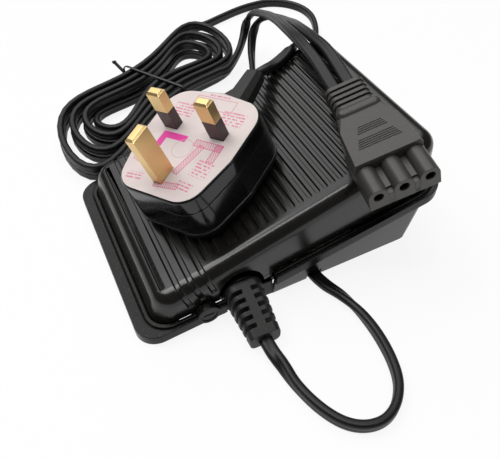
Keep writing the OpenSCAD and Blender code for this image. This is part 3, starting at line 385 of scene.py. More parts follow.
# from the plug to the hank, where the width points the other way round
start = hank[0][:3] + (-90,)
to_hank = smooth_rows([boot_row(BOOT_HOLD), boot_row(BOOT_TIP)] + MAINS
                      + [beyond(start, hank[1]), start])
to_hank = [(x, y, z, q + 180) for x, y, z, q in to_hank]
from_hank = smooth_rows(
    [hank[-1], beyond(hank[-1], hank[-2])] + LINK + into_connector(-CORE_OFFSET))
# the lead is declared from the connector to the plug, so its rows are turned round
mains_rows = to_hank[:-1] + hank + from_hank[1:]
mains_rows.reverse()
mains_rows = [(x, y, z, -q) for x, y, z, q in mains_rows]
mains_lead = tube("mains_lead", mains_rows)
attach(mains_lead, "base")
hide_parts("mains_cord", "cord_hank", "connector_cord")
print("mains lead", round(length_of(mains_rows), 3), "m")

# %% Stub of the lead inside the tray
inner_sheath = tube("inner_sheath", smooth_rows(INNER))
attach(inner_sheath, "base")
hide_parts("inner_lead")
print("inner lead", round(length_of(smooth_rows(INNER)) / MM), "mm")

# %% [markdown]
# ## The tie
# A flat plastic wire goes once round the waist of the hank. Its ends are twisted together,
# two full turns, and part a little at the tip. A torus would give a round wire in a round
# loop, so the wire's flat section is swept along a rounded rectangle and along two spirals.

# %% Sizes of the tie, in millimetres
HANK = (Matrix.Translation((HANK_MIDDLE[0] * MM, HANK_MIDDLE[1] * MM, 0))
        @ Matrix.Rotation(HANK_ANGLE, 4, "Z"))
TIE_WIRE = [(0.85, 0), (0.7, 0.2), (0.35, 0.22), (0, 0.36), (-0.35, 0.22), (-0.7, 0.2),
            (-0.85, 0), (-0.7, -0.2), (-0.35, -0.22), (0, -0.36), (0.35, -0.22), (0.7, -0.2)]
WAIST_HALF_WIDTH, WAIST_LOW, WAIST_HIGH, WAIST_CORNER = 22.16, 0.59, 13.61, 3.4
TAIL_LENGTH, TAIL_TURNS, TAIL_RADIUS = 8, 2, 0.62
TAIL_LEAN, TAIL_ROOT = math.radians(55), Vector((0, WAIST_HALF_WIDTH + 0.3, 9))
PARTING_START, PARTING_SPAN, PARTING = 0.85, 0.15, 0.5
print("tie round", 2 * WAIST_HALF_WIDTH, "by", round(WAIST_HIGH - WAIST_LOW, 2), "mm")


# %% Runs of the tie
def waist_ring(steps=8):
    """Places and outward directions round the rounded rectangle of the waist."""
    out = []
    for sy, sz, start in ((1, 1, 0), (-1, 1, 90), (-1, -1, 180), (1, -1, 270)):
        cy = sy * (WAIST_HALF_WIDTH - WAIST_CORNER)
        cz = WAIST_HIGH - WAIST_CORNER if sz > 0 else WAIST_LOW + WAIST_CORNER
        for k in range(steps + 1):
            a = math.radians(start + 90 * k / steps)
            n = Vector((0, math.cos(a), math.sin(a)))
            out.append((Vector((0, cy, cz)) + n * WAIST_CORNER, Vector((1, 0, 0)), n))
    return out


def tail_strand(side, steps=40):
    """One of the two twisted ends, as places with two directions of its section."""
    along = Vector((0, math.sin(TAIL_LEAN), math.cos(TAIL_LEAN)))
    e1, e2 = Vector((1, 0, 0)), Vector((0, -math.cos(TAIL_LEAN), math.sin(TAIL_LEAN)))
    out = []
    for k in range(steps + 1):
        t = k / steps
        a = 2 * math.pi * TAIL_TURNS * t + (0 if side > 0 else math.pi)
        r = TAIL_RADIUS + PARTING * max(0, t - PARTING_START) / PARTING_SPAN
        n = e1 * math.cos(a) + e2 * math.sin(a)
        place = TAIL_ROOT + along * TAIL_LENGTH * t + n * r
        way = along * TAIL_LENGTH + (e2 * math.cos(a) - e1 * math.sin(a)) * (
            2 * math.pi * TAIL_TURNS * r)
        out.append((place, way.normalized().cross(n), n))
    return out


print("tie's loop", len(waist_ring()), "sections, each end", len(tail_strand(1)))


# %% Mesh of a wire along its runs
def strip_mesh(runs, section):
    """Vertices and faces of runs of sections. A run is (places, closed)."""
    vertices, faces, m = [], [], len(section)
    for places, closed in runs:
        first, count = len(vertices), len(places)
        for p, across, out in places:
            vertices += [HANK @ ((p + across * u + out * v) * MM) for u, v in section]
        for i in range(count if closed else count - 1):
            a, b = first + i * m, first + (i + 1) % count * m
            faces += [(a + j, b + j, b + (j + 1) % m, a + (j + 1) % m) for j in range(m)]
        if not closed:
            faces.append(tuple(range(first, first + m)))
            faces.append(tuple(first + (count - 1) * m + j for j in reversed(range(m))))
    return vertices, faces


print("section of the tie", len(TIE_WIRE), "points")

# %% Tie round the hank
hank_tie = mesh_object("hank_tie", *strip_mesh(
    [(waist_ring(), True), (tail_strand(1), False), (tail_strand(-1), False)], TIE_WIRE))
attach(hank_tie, "base")
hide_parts("twist_tie")
print("tie faces", len(hank_tie.data.polygons))

# %% [markdown]
# ## Shared shader groups
# Grain, rubbed edges and dust come back on every piece, so each is one node group
# that gives out a mask or a height. Each material plugs it where it needs it. Written into
# every material anew they would fill pages, and a change would have to be made in each.

# %% Helpers for node trees
def add(tree, kind, values=None, **settings):
    """One node. Each value is a constant, or a socket to link."""
    node = tree.nodes.new(kind)
    for k, v in settings.items():
        setattr(node, k, v)
    for k, v in (values or {}).items():
        if isinstance(v, bpy.types.NodeSocket):
            tree.links.new(v, node.inputs[k])
        else:
            node.inputs[k].default_value = v
    return node


def maths(tree, operation, *values, clamp=False):
    """The output of one Math node."""
    node = add(tree, "ShaderNodeMath", dict(enumerate(values)), operation=operation)
    node.use_clamp = clamp
    return node.outputs[0]


def group(name, inputs, outputs):
    """An empty shader group, with the sockets to read from and to link to."""
    tree = bpy.data.node_groups.new(name, "ShaderNodeTree")
    for label, default in inputs:
        s = tree.interface.new_socket(label, in_out="INPUT", socket_type="NodeSocketFloat")
        s.default_value = default
    for label in outputs:
        tree.interface.new_socket(label, in_out="OUTPUT", socket_type="NodeSocketFloat")
    return tree, tree.nodes.new("NodeGroupInput").outputs, tree.nodes.new("NodeGroupOutput").inputs


print("helpers for nodes: add, maths, group")

# %% Moulded grain
grain, grain_in, grain_out = group(
    "moulded_grain", [("Grain Size mm", 0.25), ("Mottle Size mm", 12)], ["Height", "Mottle"])
where = add(grain, "ShaderNodeTexCoord").outputs["Object"]
fine = add(grain, "ShaderNodeTexNoise", {
    "Vector": where, "Scale": maths(grain, "DIVIDE", 1000, grain_in["Grain Size mm"]),
    "Detail": 2, "Roughness": 0.6})
broad = add(grain, "ShaderNodeTexNoise", {
    "Vector": where, "Scale": maths(grain, "DIVIDE", 1000, grain_in["Mottle Size mm"]),
    "Detail": 3, "Roughness": 0.55})
grain.links.new(fine.outputs[0], grain_out["Height"])
grain.links.new(broad.outputs[0], grain_out["Mottle"])
print(grain.name, "nodes", len(grain.nodes))

# %% [markdown]
# ### Rubbed edges
# Plastic and metal go paler where hands and shoes rub their edges. Pointiness finds edges
# only where the mesh is dense. Here a Bevel node rounds the normal a little, and where the
# rounded normal turns away from the true one there is an edge.

# %% Rubbed edge
wear, wear_in, wear_out = group("rubbed_edge", [("Radius mm", 0.5), ("Amount", 0.5)], ["Mask"])
round_normal = add(wear, "ShaderNodeBevel", {
    "Radius": maths(wear, "DIVIDE", wear_in["Radius mm"], 1000)}, samples=4)
turned = add(wear, "ShaderNodeVectorMath", {
    0: round_normal.outputs[0], 1: add(wear, "ShaderNodeNewGeometry").outputs["Normal"]},
    operation="DOT_PRODUCT").outputs["Value"]
edge = add(wear, "ShaderNodeMapRange", {
    "Value": turned, "From Min": 0.97, "From Max": 0.8, "To Min": 0, "To Max": 1})
spots = add(wear, "ShaderNodeTexNoise", {
    "Vector": add(wear, "ShaderNodeTexCoord").outputs["Object"], "Scale": 400, "Detail": 3})
wear.links.new(
    maths(wear, "MULTIPLY", maths(wear, "MULTIPLY", edge.outputs[0], spots.outputs[0]),
          wear_in["Amount"], clamp=True), wear_out["Mask"])
print(wear.name, "nodes", len(wear.nodes))

# %% [markdown]
# ### Dust
# A pedal lives on the floor, so flecks of dust settle on the faces that look up. The normal's
# height says which faces those are, and a fine noise breaks the dust into flecks.

# %% Settled dust
dust, dust_in, dust_out = group("settled_dust", [("Amount", 0.3)], ["Mask"])
facing = add(dust, "ShaderNodeSeparateXYZ", {
    0: add(dust, "ShaderNodeNewGeometry").outputs["Normal"]}).outputs["Z"]
flecks = add(dust, "ShaderNodeTexNoise", {
    "Vector": add(dust, "ShaderNodeTexCoord").outputs["Object"], "Scale": 900, "Detail": 4,
    "Roughness": 0.75})
speck = add(dust, "ShaderNodeMapRange", {
    "Value": flecks.outputs[0], "From Min": 0.56, "From Max": 0.75})
dust.links.new(
    maths(dust, "MULTIPLY", maths(dust, "MULTIPLY", facing, speck.outputs[0], clamp=True),
          dust_in["Amount"], clamp=True), dust_out["Mask"])
print(dust.name, "nodes", len(dust.nodes))

# %% [markdown]
# ## The finishes
# Moulded plastic, rubber, brass and steel differ in colour, gloss and grain, and age in the
# same three ways. So one function builds every finish from those numbers and the groups
# above, and a finish is one line. Colours are written as 0 to 255, as they look on screen.

# %% Helpers for colours
def mix(tree, factor, a, b):
    """The output of one Mix node for colours."""
    node = add(tree, "ShaderNodeMix", data_type="RGBA")
    for socket, value in ((node.inputs[0], factor), (node.inputs[6], a), (node.inputs[7], b)):
        if isinstance(value, bpy.types.NodeSocket):
            tree.links.new(value, socket)
        else:
            socket.default_value = value
    return node.outputs[2]


def rgb(r, g, b):
    """A colour written as 0 to 255, as it should look on screen."""
    return tuple(
        (c / 255 / 12.92) if c <= 10 else ((c / 255 + 0.055) / 1.055) ** 2.4 for c in (r, g, b)
    ) + (1,)


print("middle grey is", round(rgb(128, 128, 128)[0], 3), "in linear light")

# %% One function for every finish
DUST_COLOUR, DUST_DULLS = rgb(120, 116, 108), 0.3
MOTTLE_DARK = 0.8  # the darkest share of a colour


def material(name, colour, worn, rough, spread=0.08, grain_mm=0.25, depth_mm=0.01,
             metal=0.0, dusty=0.25, rubbed=0.35, specular=0.5):
    """Moulded plastic, metal or rubber: a colour that wears along its edges, with grain."""
    m = bpy.data.materials.new(name)
    m.use_nodes = True
    tree = m.node_tree
    shader = tree.nodes["Principled BSDF"]
    g = add(tree, "ShaderNodeGroup", node_tree=grain)
    g.inputs["Grain Size mm"].default_value = grain_mm
    w = add(tree, "ShaderNodeGroup", node_tree=wear)
    w.inputs["Amount"].default_value = rubbed
    d = add(tree, "ShaderNodeGroup", node_tree=dust)
    d.inputs["Amount"].default_value = dusty
    dark = tuple(c * MOTTLE_DARK for c in colour[:3]) + (1,)
    base = mix(tree, g.outputs["Mottle"], dark, colour)
    base = mix(tree, w.outputs["Mask"], base, worn)
    base = mix(tree, d.outputs["Mask"], base, DUST_COLOUR)
    tree.links.new(base, shader.inputs["Base Color"])
    soft = maths(tree, "MULTIPLY_ADD", g.outputs["Mottle"], spread, rough - spread / 2)
    dulled = maths(tree, "MULTIPLY", d.outputs["Mask"], DUST_DULLS)
    soft = maths(tree, "ADD", soft, dulled, clamp=True)
    tree.links.new(soft, shader.inputs["Roughness"])
    bump = add(tree, "ShaderNodeBump", {
        "Height": g.outputs["Height"], "Distance": depth_mm * MM, "Strength": 1.0})
    tree.links.new(bump.outputs[0], shader.inputs["Normal"])
    shader.inputs["Metallic"].default_value = metal
    shader.inputs["Specular IOR Level"].default_value = specular
    return m


print("a finish starts from the groups", grain.name, wear.name, dust.name)

# %% Finishes
GREY = rgb(96, 94, 90)
shell_black = material("shell_black", rgb(22, 21, 19), GREY, 0.2, grain_mm=0.3,
                       depth_mm=0.002, spread=0.05, dusty=0.1)
tray_black = material("tray_black", rgb(15, 14, 13), GREY, 0.26, grain_mm=0.3, depth_mm=0.003,
                      specular=0.22)
plate_grey = material("plate_grey", rgb(44, 42, 41), GREY, 0.5, grain_mm=0.4, depth_mm=0.02)
lead_black = material("lead_black", rgb(13, 13, 14), rgb(60, 60, 60), 0.42, grain_mm=0.5,
                      depth_mm=0.005, rubbed=0.1, dusty=0.12, specular=0.36)
soft_black = material("soft_black", rgb(24, 23, 22), rgb(70, 70, 70), 0.5, grain_mm=0.35,
                      depth_mm=0.012, rubbed=0.2)
connector_black = material("connector_black", rgb(60, 58, 55), rgb(100, 98, 94), 0.4,
                           grain_mm=0.3, depth_mm=0.02)
plug_black = material("plug_black", rgb(17, 17, 18), rgb(70, 70, 70), 0.14, grain_mm=0.5,
                      depth_mm=0.0015, dusty=0.03)
sleeve_brown = material("sleeve_brown", rgb(72, 54, 56), rgb(120, 100, 100), 0.42)
brass = material("brass", rgb(240, 206, 146), rgb(248, 222, 170), 0.34, metal=1.0,
                 grain_mm=0.2, depth_mm=0.004, dusty=0.05)
# the contact sleeves sit deep in the connector's barrels: their brass is painted nearly black, a
# painted shade of the holes
brass_painted_shade = material("brass_painted_shade", rgb(40, 32, 24), rgb(70, 56, 40), 0.6, metal=0.6)
blackened = material("blackened", rgb(30, 30, 30), rgb(90, 90, 90), 0.35, metal=0.6)
steel = material("steel", rgb(176, 176, 174), rgb(220, 220, 218), 0.32, metal=1.0, dusty=0.1)
rubber = material("rubber", rgb(26, 26, 26), rgb(60, 60, 60), 0.75, depth_mm=0.03)
board_green = material("board_green", rgb(28, 92, 52), rgb(60, 130, 80), 0.4)
nylon = material("nylon", rgb(232, 230, 222), rgb(244, 243, 240), 0.42)
component = material("component", rgb(34, 34, 36), rgb(80, 80, 80), 0.45)
aluminium = material("aluminium", rgb(190, 192, 194), rgb(226, 228, 230), 0.38, metal=1.0)
cap_yellow = material("cap_yellow", rgb(214, 164, 44), rgb(236, 196, 90), 0.35)
ferrite = material("ferrite", rgb(150, 92, 50), rgb(190, 130, 80), 0.34, metal=0.6)
resistor_tan = material("resistor_tan", rgb(206, 182, 140), rgb(226, 210, 180), 0.4)
terminal = material("terminal", rgb(46, 118, 72), rgb(90, 160, 110), 0.42)
sheath_grey = material("sheath_grey", rgb(196, 196, 192), rgb(220, 220, 216), 0.5)
ceramic = material("ceramic", rgb(226, 220, 206), rgb(240, 236, 228), 0.35)
tie_black = material("tie_black", rgb(24, 24, 25), rgb(60, 60, 60), 0.35)
print("finishes", grain.users)

# %% Which piece wears which finish
LOOKS = {
    "base_tray": tray_black, "bottom_plate": plate_grey, "rubber_feet": rubber,
    "base_screws": steel, "pivot_pins": blackened, "return_springs": steel,
    "circuit_board": board_green, "pcb_screws": steel, "potentiometer": component,
    "speed_lever": nylon, "triac": component, "heat_sink": aluminium,
    "triac_screw": steel, "suppression_capacitor": cap_yellow, "choke": ferrite,
    "resistors": resistor_tan, "terminal_block": terminal,
    "cable_clamp": nylon, "clamp_screws": steel, "strain_relief": soft_black,
    "travel_pads": rubber, "treadle_cover": shell_black,
    "connector_shell": connector_black, "contact_block": connector_black,
    "contact_sleeves": brass_painted_shade, "plug_body": plug_black, "plug_face": plug_black,
    "earth_pin": brass, "line_pins": brass,
    "pin_sleeves": sleeve_brown, "plug_fuse": ceramic, "plug_boot": soft_black,
}
for name, look in LOOKS.items():
    for s in frame["nodes"][name].material_slots:
        s.material = look
for lead in (pedal_lead, mains_lead):
    lead.data.materials.append(lead_black)
hank_tie.data.materials.append(tie_black)
inner_sheath.data.materials.append(sheath_grey)
print("dressed", len(LOOKS), "nodes")

# %% [markdown]
# ## Rounded edges on the moulded pieces
# A moulding has no knife edge: each corner carries a small radius, and that radius
# is what catches the light. A Bevel modifier finds no edges on the CAD solid, because its
# triangles are loose. So each visible moulding is a copy of its solid, with its triangles
# merged to whole faces first, and its edges then bevelled a fraction of a millimetre.

# %% Modifiers turned into mesh
def plain(obj):
    """The object with its modifiers turned into plain mesh."""
    graph = bpy.context.evaluated_depsgraph_get()
    made = bpy.data.meshes.new_from_object(
        obj.evaluated_get(graph), preserve_all_data_layers=True, depsgraph=graph)
    obj.modifiers.clear()
    obj.data = made
    return obj


print("helper for modifiers: plain")

# %% Function for the bevelled copies
SLIVER = 3e-5  # points nearer than this, in metres, are one
FLAT_ANGLE, EDGE_ANGLE, SHARP_ANGLE = (math.radians(a) for a in (0.6, 34, 40))
FARTHEST = 0.4  # how far a bevelled point may be from the solid, in widths of the bevel


def rounded_copy(node, name, width_mm, body="base", segments=2):
    """A moulding: the CAD node's solid with small radii, in the node's place."""
    source = frame["nodes"][node]
    mesh = source.data.copy()
    mesh.name = name
    obj = linked(name, mesh)
    bm = bmesh.new()
    bm.from_mesh(mesh)
    bmesh.ops.remove_doubles(bm, verts=bm.verts, dist=SLIVER)
    bmesh.ops.dissolve_degenerate(bm, dist=SLIVER, edges=bm.edges)
    bmesh.ops.dissolve_limit(bm, angle_limit=FLAT_ANGLE, verts=bm.verts, edges=bm.edges)
    before = len(bm.faces)
    edges = [e for e in bm.edges if e.is_manifold and e.calc_face_angle(0) > EDGE_ANGLE]
    bmesh.ops.bevel(bm, geom=edges, offset=width_mm * MM, offset_type="OFFSET",
                    segments=segments, profile=0.5, affect="EDGES", clamp_overlap=False)
    # a bevel can throw a corner off where edges meet at a slant: it goes back to the solid
    skin = BVHTree.FromPolygons([v.co for v in source.data.vertices],
                                [tuple(p.vertices) for p in source.data.polygons])
    thrown = 0
    for v in bm.verts:
        near, _, _, distance = skin.find_nearest(v.co)
        if distance > FARTHEST * width_mm * MM:
            v.co = near
            thrown += 1
    bm.to_mesh(mesh)
    bm.free()
    for p in mesh.polygons:
        p.use_smooth = True
    mesh.set_sharp_from_angle(angle=SHARP_ANGLE)
    shade = obj.modifiers.new("shade", "WEIGHTED_NORMAL")
    shade.keep_sharp = True
    shade.weight = 100
    shade.thresh = 0.01
    plain(obj)
    obj.data.materials.clear()
    obj.data.materials.append(LOOKS[node])
    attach(obj, body)
    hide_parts(node)
    print(name, "faces", before, "->", len(obj.data.polygons), "put back", thrown)


print("bevels only edges sharper than", round(math.degrees(EDGE_ANGLE)), "degrees")

# %% Bevelled copies of the mouldings
rounded_copy("treadle_cover", "cover_moulding", 0.36, body="treadle", segments=3)
for node, name, width, slot in (
    ("base_tray", "tray_moulding", 0.3, "black_shell"),
    ("connector_shell", "connector_moulding", 0.15, "connector_black"),
    ("contact_block", "connector_barrels", 0.15, "connector_black"),
    ("plug_body", "plug_moulding", 0.15, "plug_black"),
    ("plug_face", "plug_face_moulding", 0.2, "plug_black"),
    ("strain_relief", "strain_relief_moulding", 0.15, "soft_black"),
    ("plug_boot", "boot_moulding", 0.15, "soft_black"),
    ("earth_pin", "earth_pin_brass", 0.15, "contact_brass"),
    ("line_pins", "line_pins_brass", 0.15, "contact_brass"),
    ("pin_sleeves", "pin_sleeves_moulding", 0.1, "sleeve_plastic"),
):
    rounded_copy(node, name, width)

# %% [markdown]
# ## The printed card of the plug
# A plug is sold with a card round its pins. This one covers the whole face, and its
# print is a plain pattern in pink: a bar, hatched strips, outlines and short dashes
# where words would stand. The card's UV map is in millimetres of the plug's own frame,
# so every number below is a real place on the card.

# %% Outline of the card, in millimetres of the plug's frame
CARD_CIRCLES = [(9.5, -21.8, 9.2), (12, -8, 9.8), (11.8, 7.5, 10), (0, 4, 15),
                (-11.8, 7.5, 10), (-12, -8, 9.8), (-9.5, -21.8, 9.2)]
PIN_HOLES = [(-11.115, 0, 3.3, 2.1), (11.115, 0, 3.3, 2.1), (0, -22.23, 2.1, 4.1)]


def around(circles, grow, steps=72):
    """The outline a string would take round the circles, grown by a distance."""
    dots = sorted({(round(x + (r + grow) * math.cos(a), 4), round(y + (r + grow) * math.sin(a), 4))
                   for x, y, r in circles
                   for a in (2 * math.pi * k / steps for k in range(steps))})

    def half(points):
        """One side of the hull, without the points that lie inside it."""
        out = []
        for p in points:
            while len(out) > 1 and (
                (out[-1][0] - out[-2][0]) * (p[1] - out[-2][1])
                - (out[-1][1] - out[-2][1]) * (p[0] - out[-2][0])
            ) <= 0:
                out.pop()
            out.append(p)
        return out[:-1]

    return half(dots) + half(dots[::-1])


print("card outline", len(around(CARD_CIRCLES, 0)), "points")


# %% Card mesh
def card(name, grow, low, high):
    """A plate over the plug's face, with holes for the pins and a UV map."""
    bm = bmesh.new()
    loops = [around(CARD_CIRCLES, grow)]
    loops += [[(x + i * a, y + j * b) for i, j in ((-1, -1), (1, -1), (1, 1), (-1, 1))]
              for x, y, a, b in PIN_HOLES]
    for loop in loops:
        dots = [bm.verts.new((x, y, high)) for x, y in loop]
        for a, b in zip(dots, dots[1:] + dots[:1]):
            bm.edges.new((a, b))
    bmesh.ops.triangle_fill(bm, edges=bm.edges, use_beauty=True)
    top = list(bm.faces)
    under = bmesh.ops.extrude_face_region(bm, geom=top)
    for v in (g for g in under["geom"] if isinstance(g, bmesh.types.BMVert)):
        v.co.z = low
    bmesh.ops.recalc_face_normals(bm, faces=bm.faces)
    layer = bm.loops.layers.uv.new("millimetres")
    for f in bm.faces:
        for corner in f.loops:
            corner[layer].uv = corner.vert.co.xy
    for v in bm.verts:
        v.co = at(PLUG, *v.co)
    return from_bmesh(name, bm)


plug_print = card("plug_print", 0.25, -0.1, 0.1)
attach(plug_print, "base")
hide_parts("plug_card")
print("card faces", len(plug_print.data.polygons))

# %% [markdown]
# ### The print
# The print could be a drawn image. Here it is nodes: one group tells, for a rectangle at any
# place and turn on the card, which points lie inside it and which on its outline. Bars,
# hatching, outlines and rows of dashes all start from that.

# %% Group for one rectangle of the print
OUTLINE = 0.14  # millimetres to either side of the line
place, place_in, place_out = group(
    "place_on_card",
    [("X", 0), ("Y", 0), ("Half Width", 1), ("Half Height", 1), ("Turn", 0)],
    ["Inside", "Outline", "Across", "Up"])
spot = add(place, "ShaderNodeVectorRotate", {
    "Vector": add(place, "ShaderNodeVectorMath", {
        0: add(place, "ShaderNodeUVMap", uv_map="millimetres").outputs[0],
        1: add(place, "ShaderNodeCombineXYZ", {
            0: place_in["X"], 1: place_in["Y"]}).outputs[0],
    }, operation="SUBTRACT").outputs[0],
    "Angle": maths(place, "RADIANS", place_in["Turn"])}, rotation_type="Z_AXIS")
local = add(place, "ShaderNodeSeparateXYZ", {0: spot.outputs[0]}).outputs
outside = maths(place, "MAXIMUM", *(
    maths(place, "SUBTRACT", maths(place, "ABSOLUTE", local[i]), place_in[half])
    for i, half in enumerate(("Half Width", "Half Height"))))
place.links.new(maths(place, "LESS_THAN", outside, 0), place_out["Inside"])
place.links.new(
    maths(place, "LESS_THAN", maths(place, "ABSOLUTE", outside), OUTLINE), place_out["Outline"])
place.links.new(local[0], place_out["Across"])
place.links.new(local[1], place_out["Up"])
print(place.name, "nodes", len(place.nodes))

# %% Where the print stands: x, y, half width, half height in millimetres, and the turn
BARS = [(-6.4, -5.2, 5.4, 1.5, 0), (-11.4, -7.4, 1.5, 3.6, 0)]
HATCHED = [(9.6, -5.6, 6.2, 1.5, 0), (14.4, -8.2, 1.5, 4, 0),
           (5.6, -13.4, 1.3, 7.2, 14), (3.8, -26, 5, 1.2, -8)]
OUTLINED = [(0, 13.4, 9.4, 2.9, 0), (-12.4, -17.6, 4.6, 2.6, 12), (0, 8.6, 0.05, 2.6, 0)]
DASHED = [(-11.6, 7.6, 5, 3.4, 0), (11.8, 8, 5.2, 3.4, 0), (13.4, -15.8, 3.6, 3.8, 6),
          (-11.6, -26, 3.8, 1.6, -6), (11, -24.6, 3.4, 2, 4), (0.4, 17.2, 5, 0.9, 0)]
HATCHES_PER_MM, HATCH_SHARE = 1.15, 0.4
LINES_PER_MM, LINE_SHARE, WORD_SCALE, WORD_SHARE = 0.72, 0.46, 1.2, 0.44
SCREW_RING, RING_RADIUS, RING_HALF = (0, -9.5, 0), 4.3, 0.16
MAGENTA, ROSE, FADED = rgb(226, 60, 158), rgb(206, 70, 128), rgb(212, 112, 146)
print("print", len(BARS) + len(HATCHED) + len(OUTLINED) + len(DASHED), "places")


# %% Material of the printed card
def printed_card():
    """The card's finish, with each ink laid over the one before."""
    m = material("printed_card", rgb(228, 214, 211), rgb(240, 232, 230), 0.55, dusty=0.05,
                 rubbed=0.1)
    tree = m.node_tree
    shader = tree.nodes["Principled BSDF"]
    colour = shader.inputs["Base Color"].links[0].from_socket

    def spot_at(*where):
        """The masks of one rectangle of the print."""
        g = add(tree, "ShaderNodeGroup", node_tree=place)
        for label, value in zip(("X", "Y", "Half Width", "Half Height", "Turn"), where):
            g.inputs[label].default_value = value
        return g.outputs

    def ink(mask, paint, strength=1.0):
        """Paint laid over the card where the mask is 1."""
        nonlocal colour
        colour = mix(tree, maths(tree, "MULTIPLY", mask, strength), colour, paint)

    for spot in BARS:
        ink(spot_at(*spot)["Inside"], MAGENTA)
    for spot in HATCHED:
        o = spot_at(*spot)
        slant = maths(tree, "FRACT", maths(
            tree, "MULTIPLY", maths(tree, "ADD", o["Across"], o["Up"]), HATCHES_PER_MM))
        hatch = maths(tree, "LESS_THAN", slant, HATCH_SHARE)
        ink(maths(tree, "MULTIPLY", o["Inside"], hatch), ROSE, 0.8)
        ink(o["Outline"], ROSE, 0.9)
    for spot in OUTLINED:
        ink(spot_at(*spot)["Outline"], FADED, 0.9)
    # rows of short dashes: a noise along each line breaks it, and each line has its own noise
    for spot in DASHED:
        o = spot_at(*spot)
        line = maths(tree, "MULTIPLY", o["Up"], LINES_PER_MM)
        own = maths(tree, "MULTIPLY", maths(tree, "FLOOR", line), 5.3)
        seed = add(tree, "ShaderNodeCombineXYZ", {
            0: maths(tree, "MULTIPLY", o["Across"], WORD_SCALE),
            1: maths(tree, "ADD", own, spot[0])})
        broken = add(tree, "ShaderNodeTexNoise", {
            "Vector": seed.outputs[0], "Scale": 1.0, "Detail": 1}, noise_dimensions="2D")
        dash = maths(tree, "MULTIPLY",
                     maths(tree, "GREATER_THAN", broken.outputs[0], WORD_SHARE),
                     maths(tree, "LESS_THAN", maths(tree, "FRACT", line), LINE_SHARE))
        ink(maths(tree, "MULTIPLY", o["Inside"], dash), FADED, 0.9)
    # a faint darker ring on the card, round the place of the screw below
    flat = add(tree, "ShaderNodeVectorMath", {
        0: add(tree, "ShaderNodeUVMap", uv_map="millimetres").outputs[0], 1: SCREW_RING},
        operation="DISTANCE").outputs["Value"]
    ring = maths(tree, "LESS_THAN", maths(
        tree, "ABSOLUTE", maths(tree, "SUBTRACT", flat, RING_RADIUS)), RING_HALF)
    ink(ring, rgb(196, 168, 170), 0.8)
    tree.links.new(colour, shader.inputs["Base Color"])
    return m


plug_print.data.materials.append(printed_card())
print("card's print", len(plug_print.data.materials[0].node_tree.nodes), "nodes")

# %% [markdown]
# ## Webs between the connector's barrels
# The three barrels of the connector are one moulding: a web closes the front between
# each two of them. A web is a narrow block with small radii, in the connector's frame.

# %% Webs, in millimetres
WEB_MIDDLES = (-4.7, 4.7)
WEB_HALF, WEB_FRONT, WEB_BACK, WEB_LOW, WEB_TOP, WEB_RADIUS = 1.05, -31, -12, 0.05, 5.5, 0.15


def webs(name):
    """A block with small radii at each of the middles."""
    bm = bmesh.new()
    for x in WEB_MIDDLES:
        box = bmesh.ops.create_cube(bm, size=1)["verts"]
        for v in box:
            v.co = at(CONNECTOR, x + math.copysign(WEB_HALF, v.co.x),
                      WEB_BACK if v.co.y > 0 else WEB_FRONT,
                      WEB_TOP if v.co.z > 0 else WEB_LOW)
    bmesh.ops.bevel(bm, geom=bm.edges, offset=WEB_RADIUS * MM, segments=2, affect="EDGES")
    bmesh.ops.recalc_face_normals(bm, faces=bm.faces)
    return from_bmesh(name, bm)


barrel_webs = webs("barrel_webs")
barrel_webs.data.materials.append(connector_black)
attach(barrel_webs, "base")
print("webs", len(WEB_MIDDLES), "with", len(barrel_webs.data.polygons), "faces")

# %% [markdown]
# ## Screws and springs by Geometry Nodes
# The plate's screws and the board's screws are one tree with other sizes, and so are the
# two springs. The places come from the CAD solids. Each tree ends in Realize Instances
# and Set Material, because instances don't leave the file. The result is turned into plain
# mesh, and the modifier goes.

# %% Helpers for the trees
def geometry_tree(name, sizes):
    """An empty tree with a geometry, sizes and a material as its named inputs."""
    tree = bpy.data.node_groups.new(name, "GeometryNodeTree")
    tree.interface.new_socket("Geometry", in_out="INPUT", socket_type="NodeSocketGeometry")
    for label in sizes:
        tree.interface.new_socket(label, in_out="INPUT", socket_type="NodeSocketFloat")
    tree.interface.new_socket("Material", in_out="INPUT", socket_type="NodeSocketMaterial")
    tree.interface.new_socket("Geometry", in_out="OUTPUT", socket_type="NodeSocketGeometry")
    return tree, tree.nodes.new("NodeGroupInput").outputs, tree.nodes.new("NodeGroupOutput").inputs


def on_points(tree, tin, tout, shape):
    """One instance of the shape on each point, realized, with the material set."""
    placed = add(tree, "GeometryNodeInstanceOnPoints", {
        "Points": tin["Geometry"], "Instance": shape})
    real = add(tree, "GeometryNodeRealizeInstances", {"Geometry": placed.outputs[0]})
    done = add(tree, "GeometryNodeSetMaterial", {
        "Geometry": real.outputs[0], "Material": tin["Material"]})
    tree.links.new(done.outputs[0], tout["Geometry"])


def grown(name, tree, points, sizes, look):
    """A plain mesh from a tree that was given points in metres and sizes in metres."""
    obj = mesh_object(name, points, [])
    modifier = obj.modifiers.new("nodes", "NODES")
    modifier.node_group = tree
    sockets = {s.name: s.identifier for s in tree.interface.items_tree if s.in_out == "INPUT"}
    for label, value in sizes.items():
        modifier[sockets[label]] = value
    modifier[sockets["Material"]] = look
    return plain(obj)


print("helpers for trees: geometry_tree, on_points, grown")


# %% Places of the CAD's screws and springs
def islands(node):
    """Middle and height range of each separate solid of a CAD node, in a fixed order."""
    bm = bmesh.new()
    bm.from_mesh(frame["nodes"][node].data)
    bmesh.ops.remove_doubles(bm, verts=bm.verts, dist=SLIVER)
    left, out = set(bm.verts), []
    while left:
        todo, found = [left.pop()], []
        while todo:
            v = todo.pop()
            found.append(v.co.copy())
            for e in v.link_edges:
                other = e.other_vert(v)
                if other in left:
                    left.discard(other)
                    todo.append(other)
        spans = [(min(c), max(c)) for c in zip(*found)]
        across, along = ((low + high) / 2 for low, high in spans[:2])
        out.append((across, along, *spans[2]))
    bm.free()
    return sorted(out)


for node in ("base_screws", "pcb_screws", "return_springs"):
    print(node, len(islands(node)))

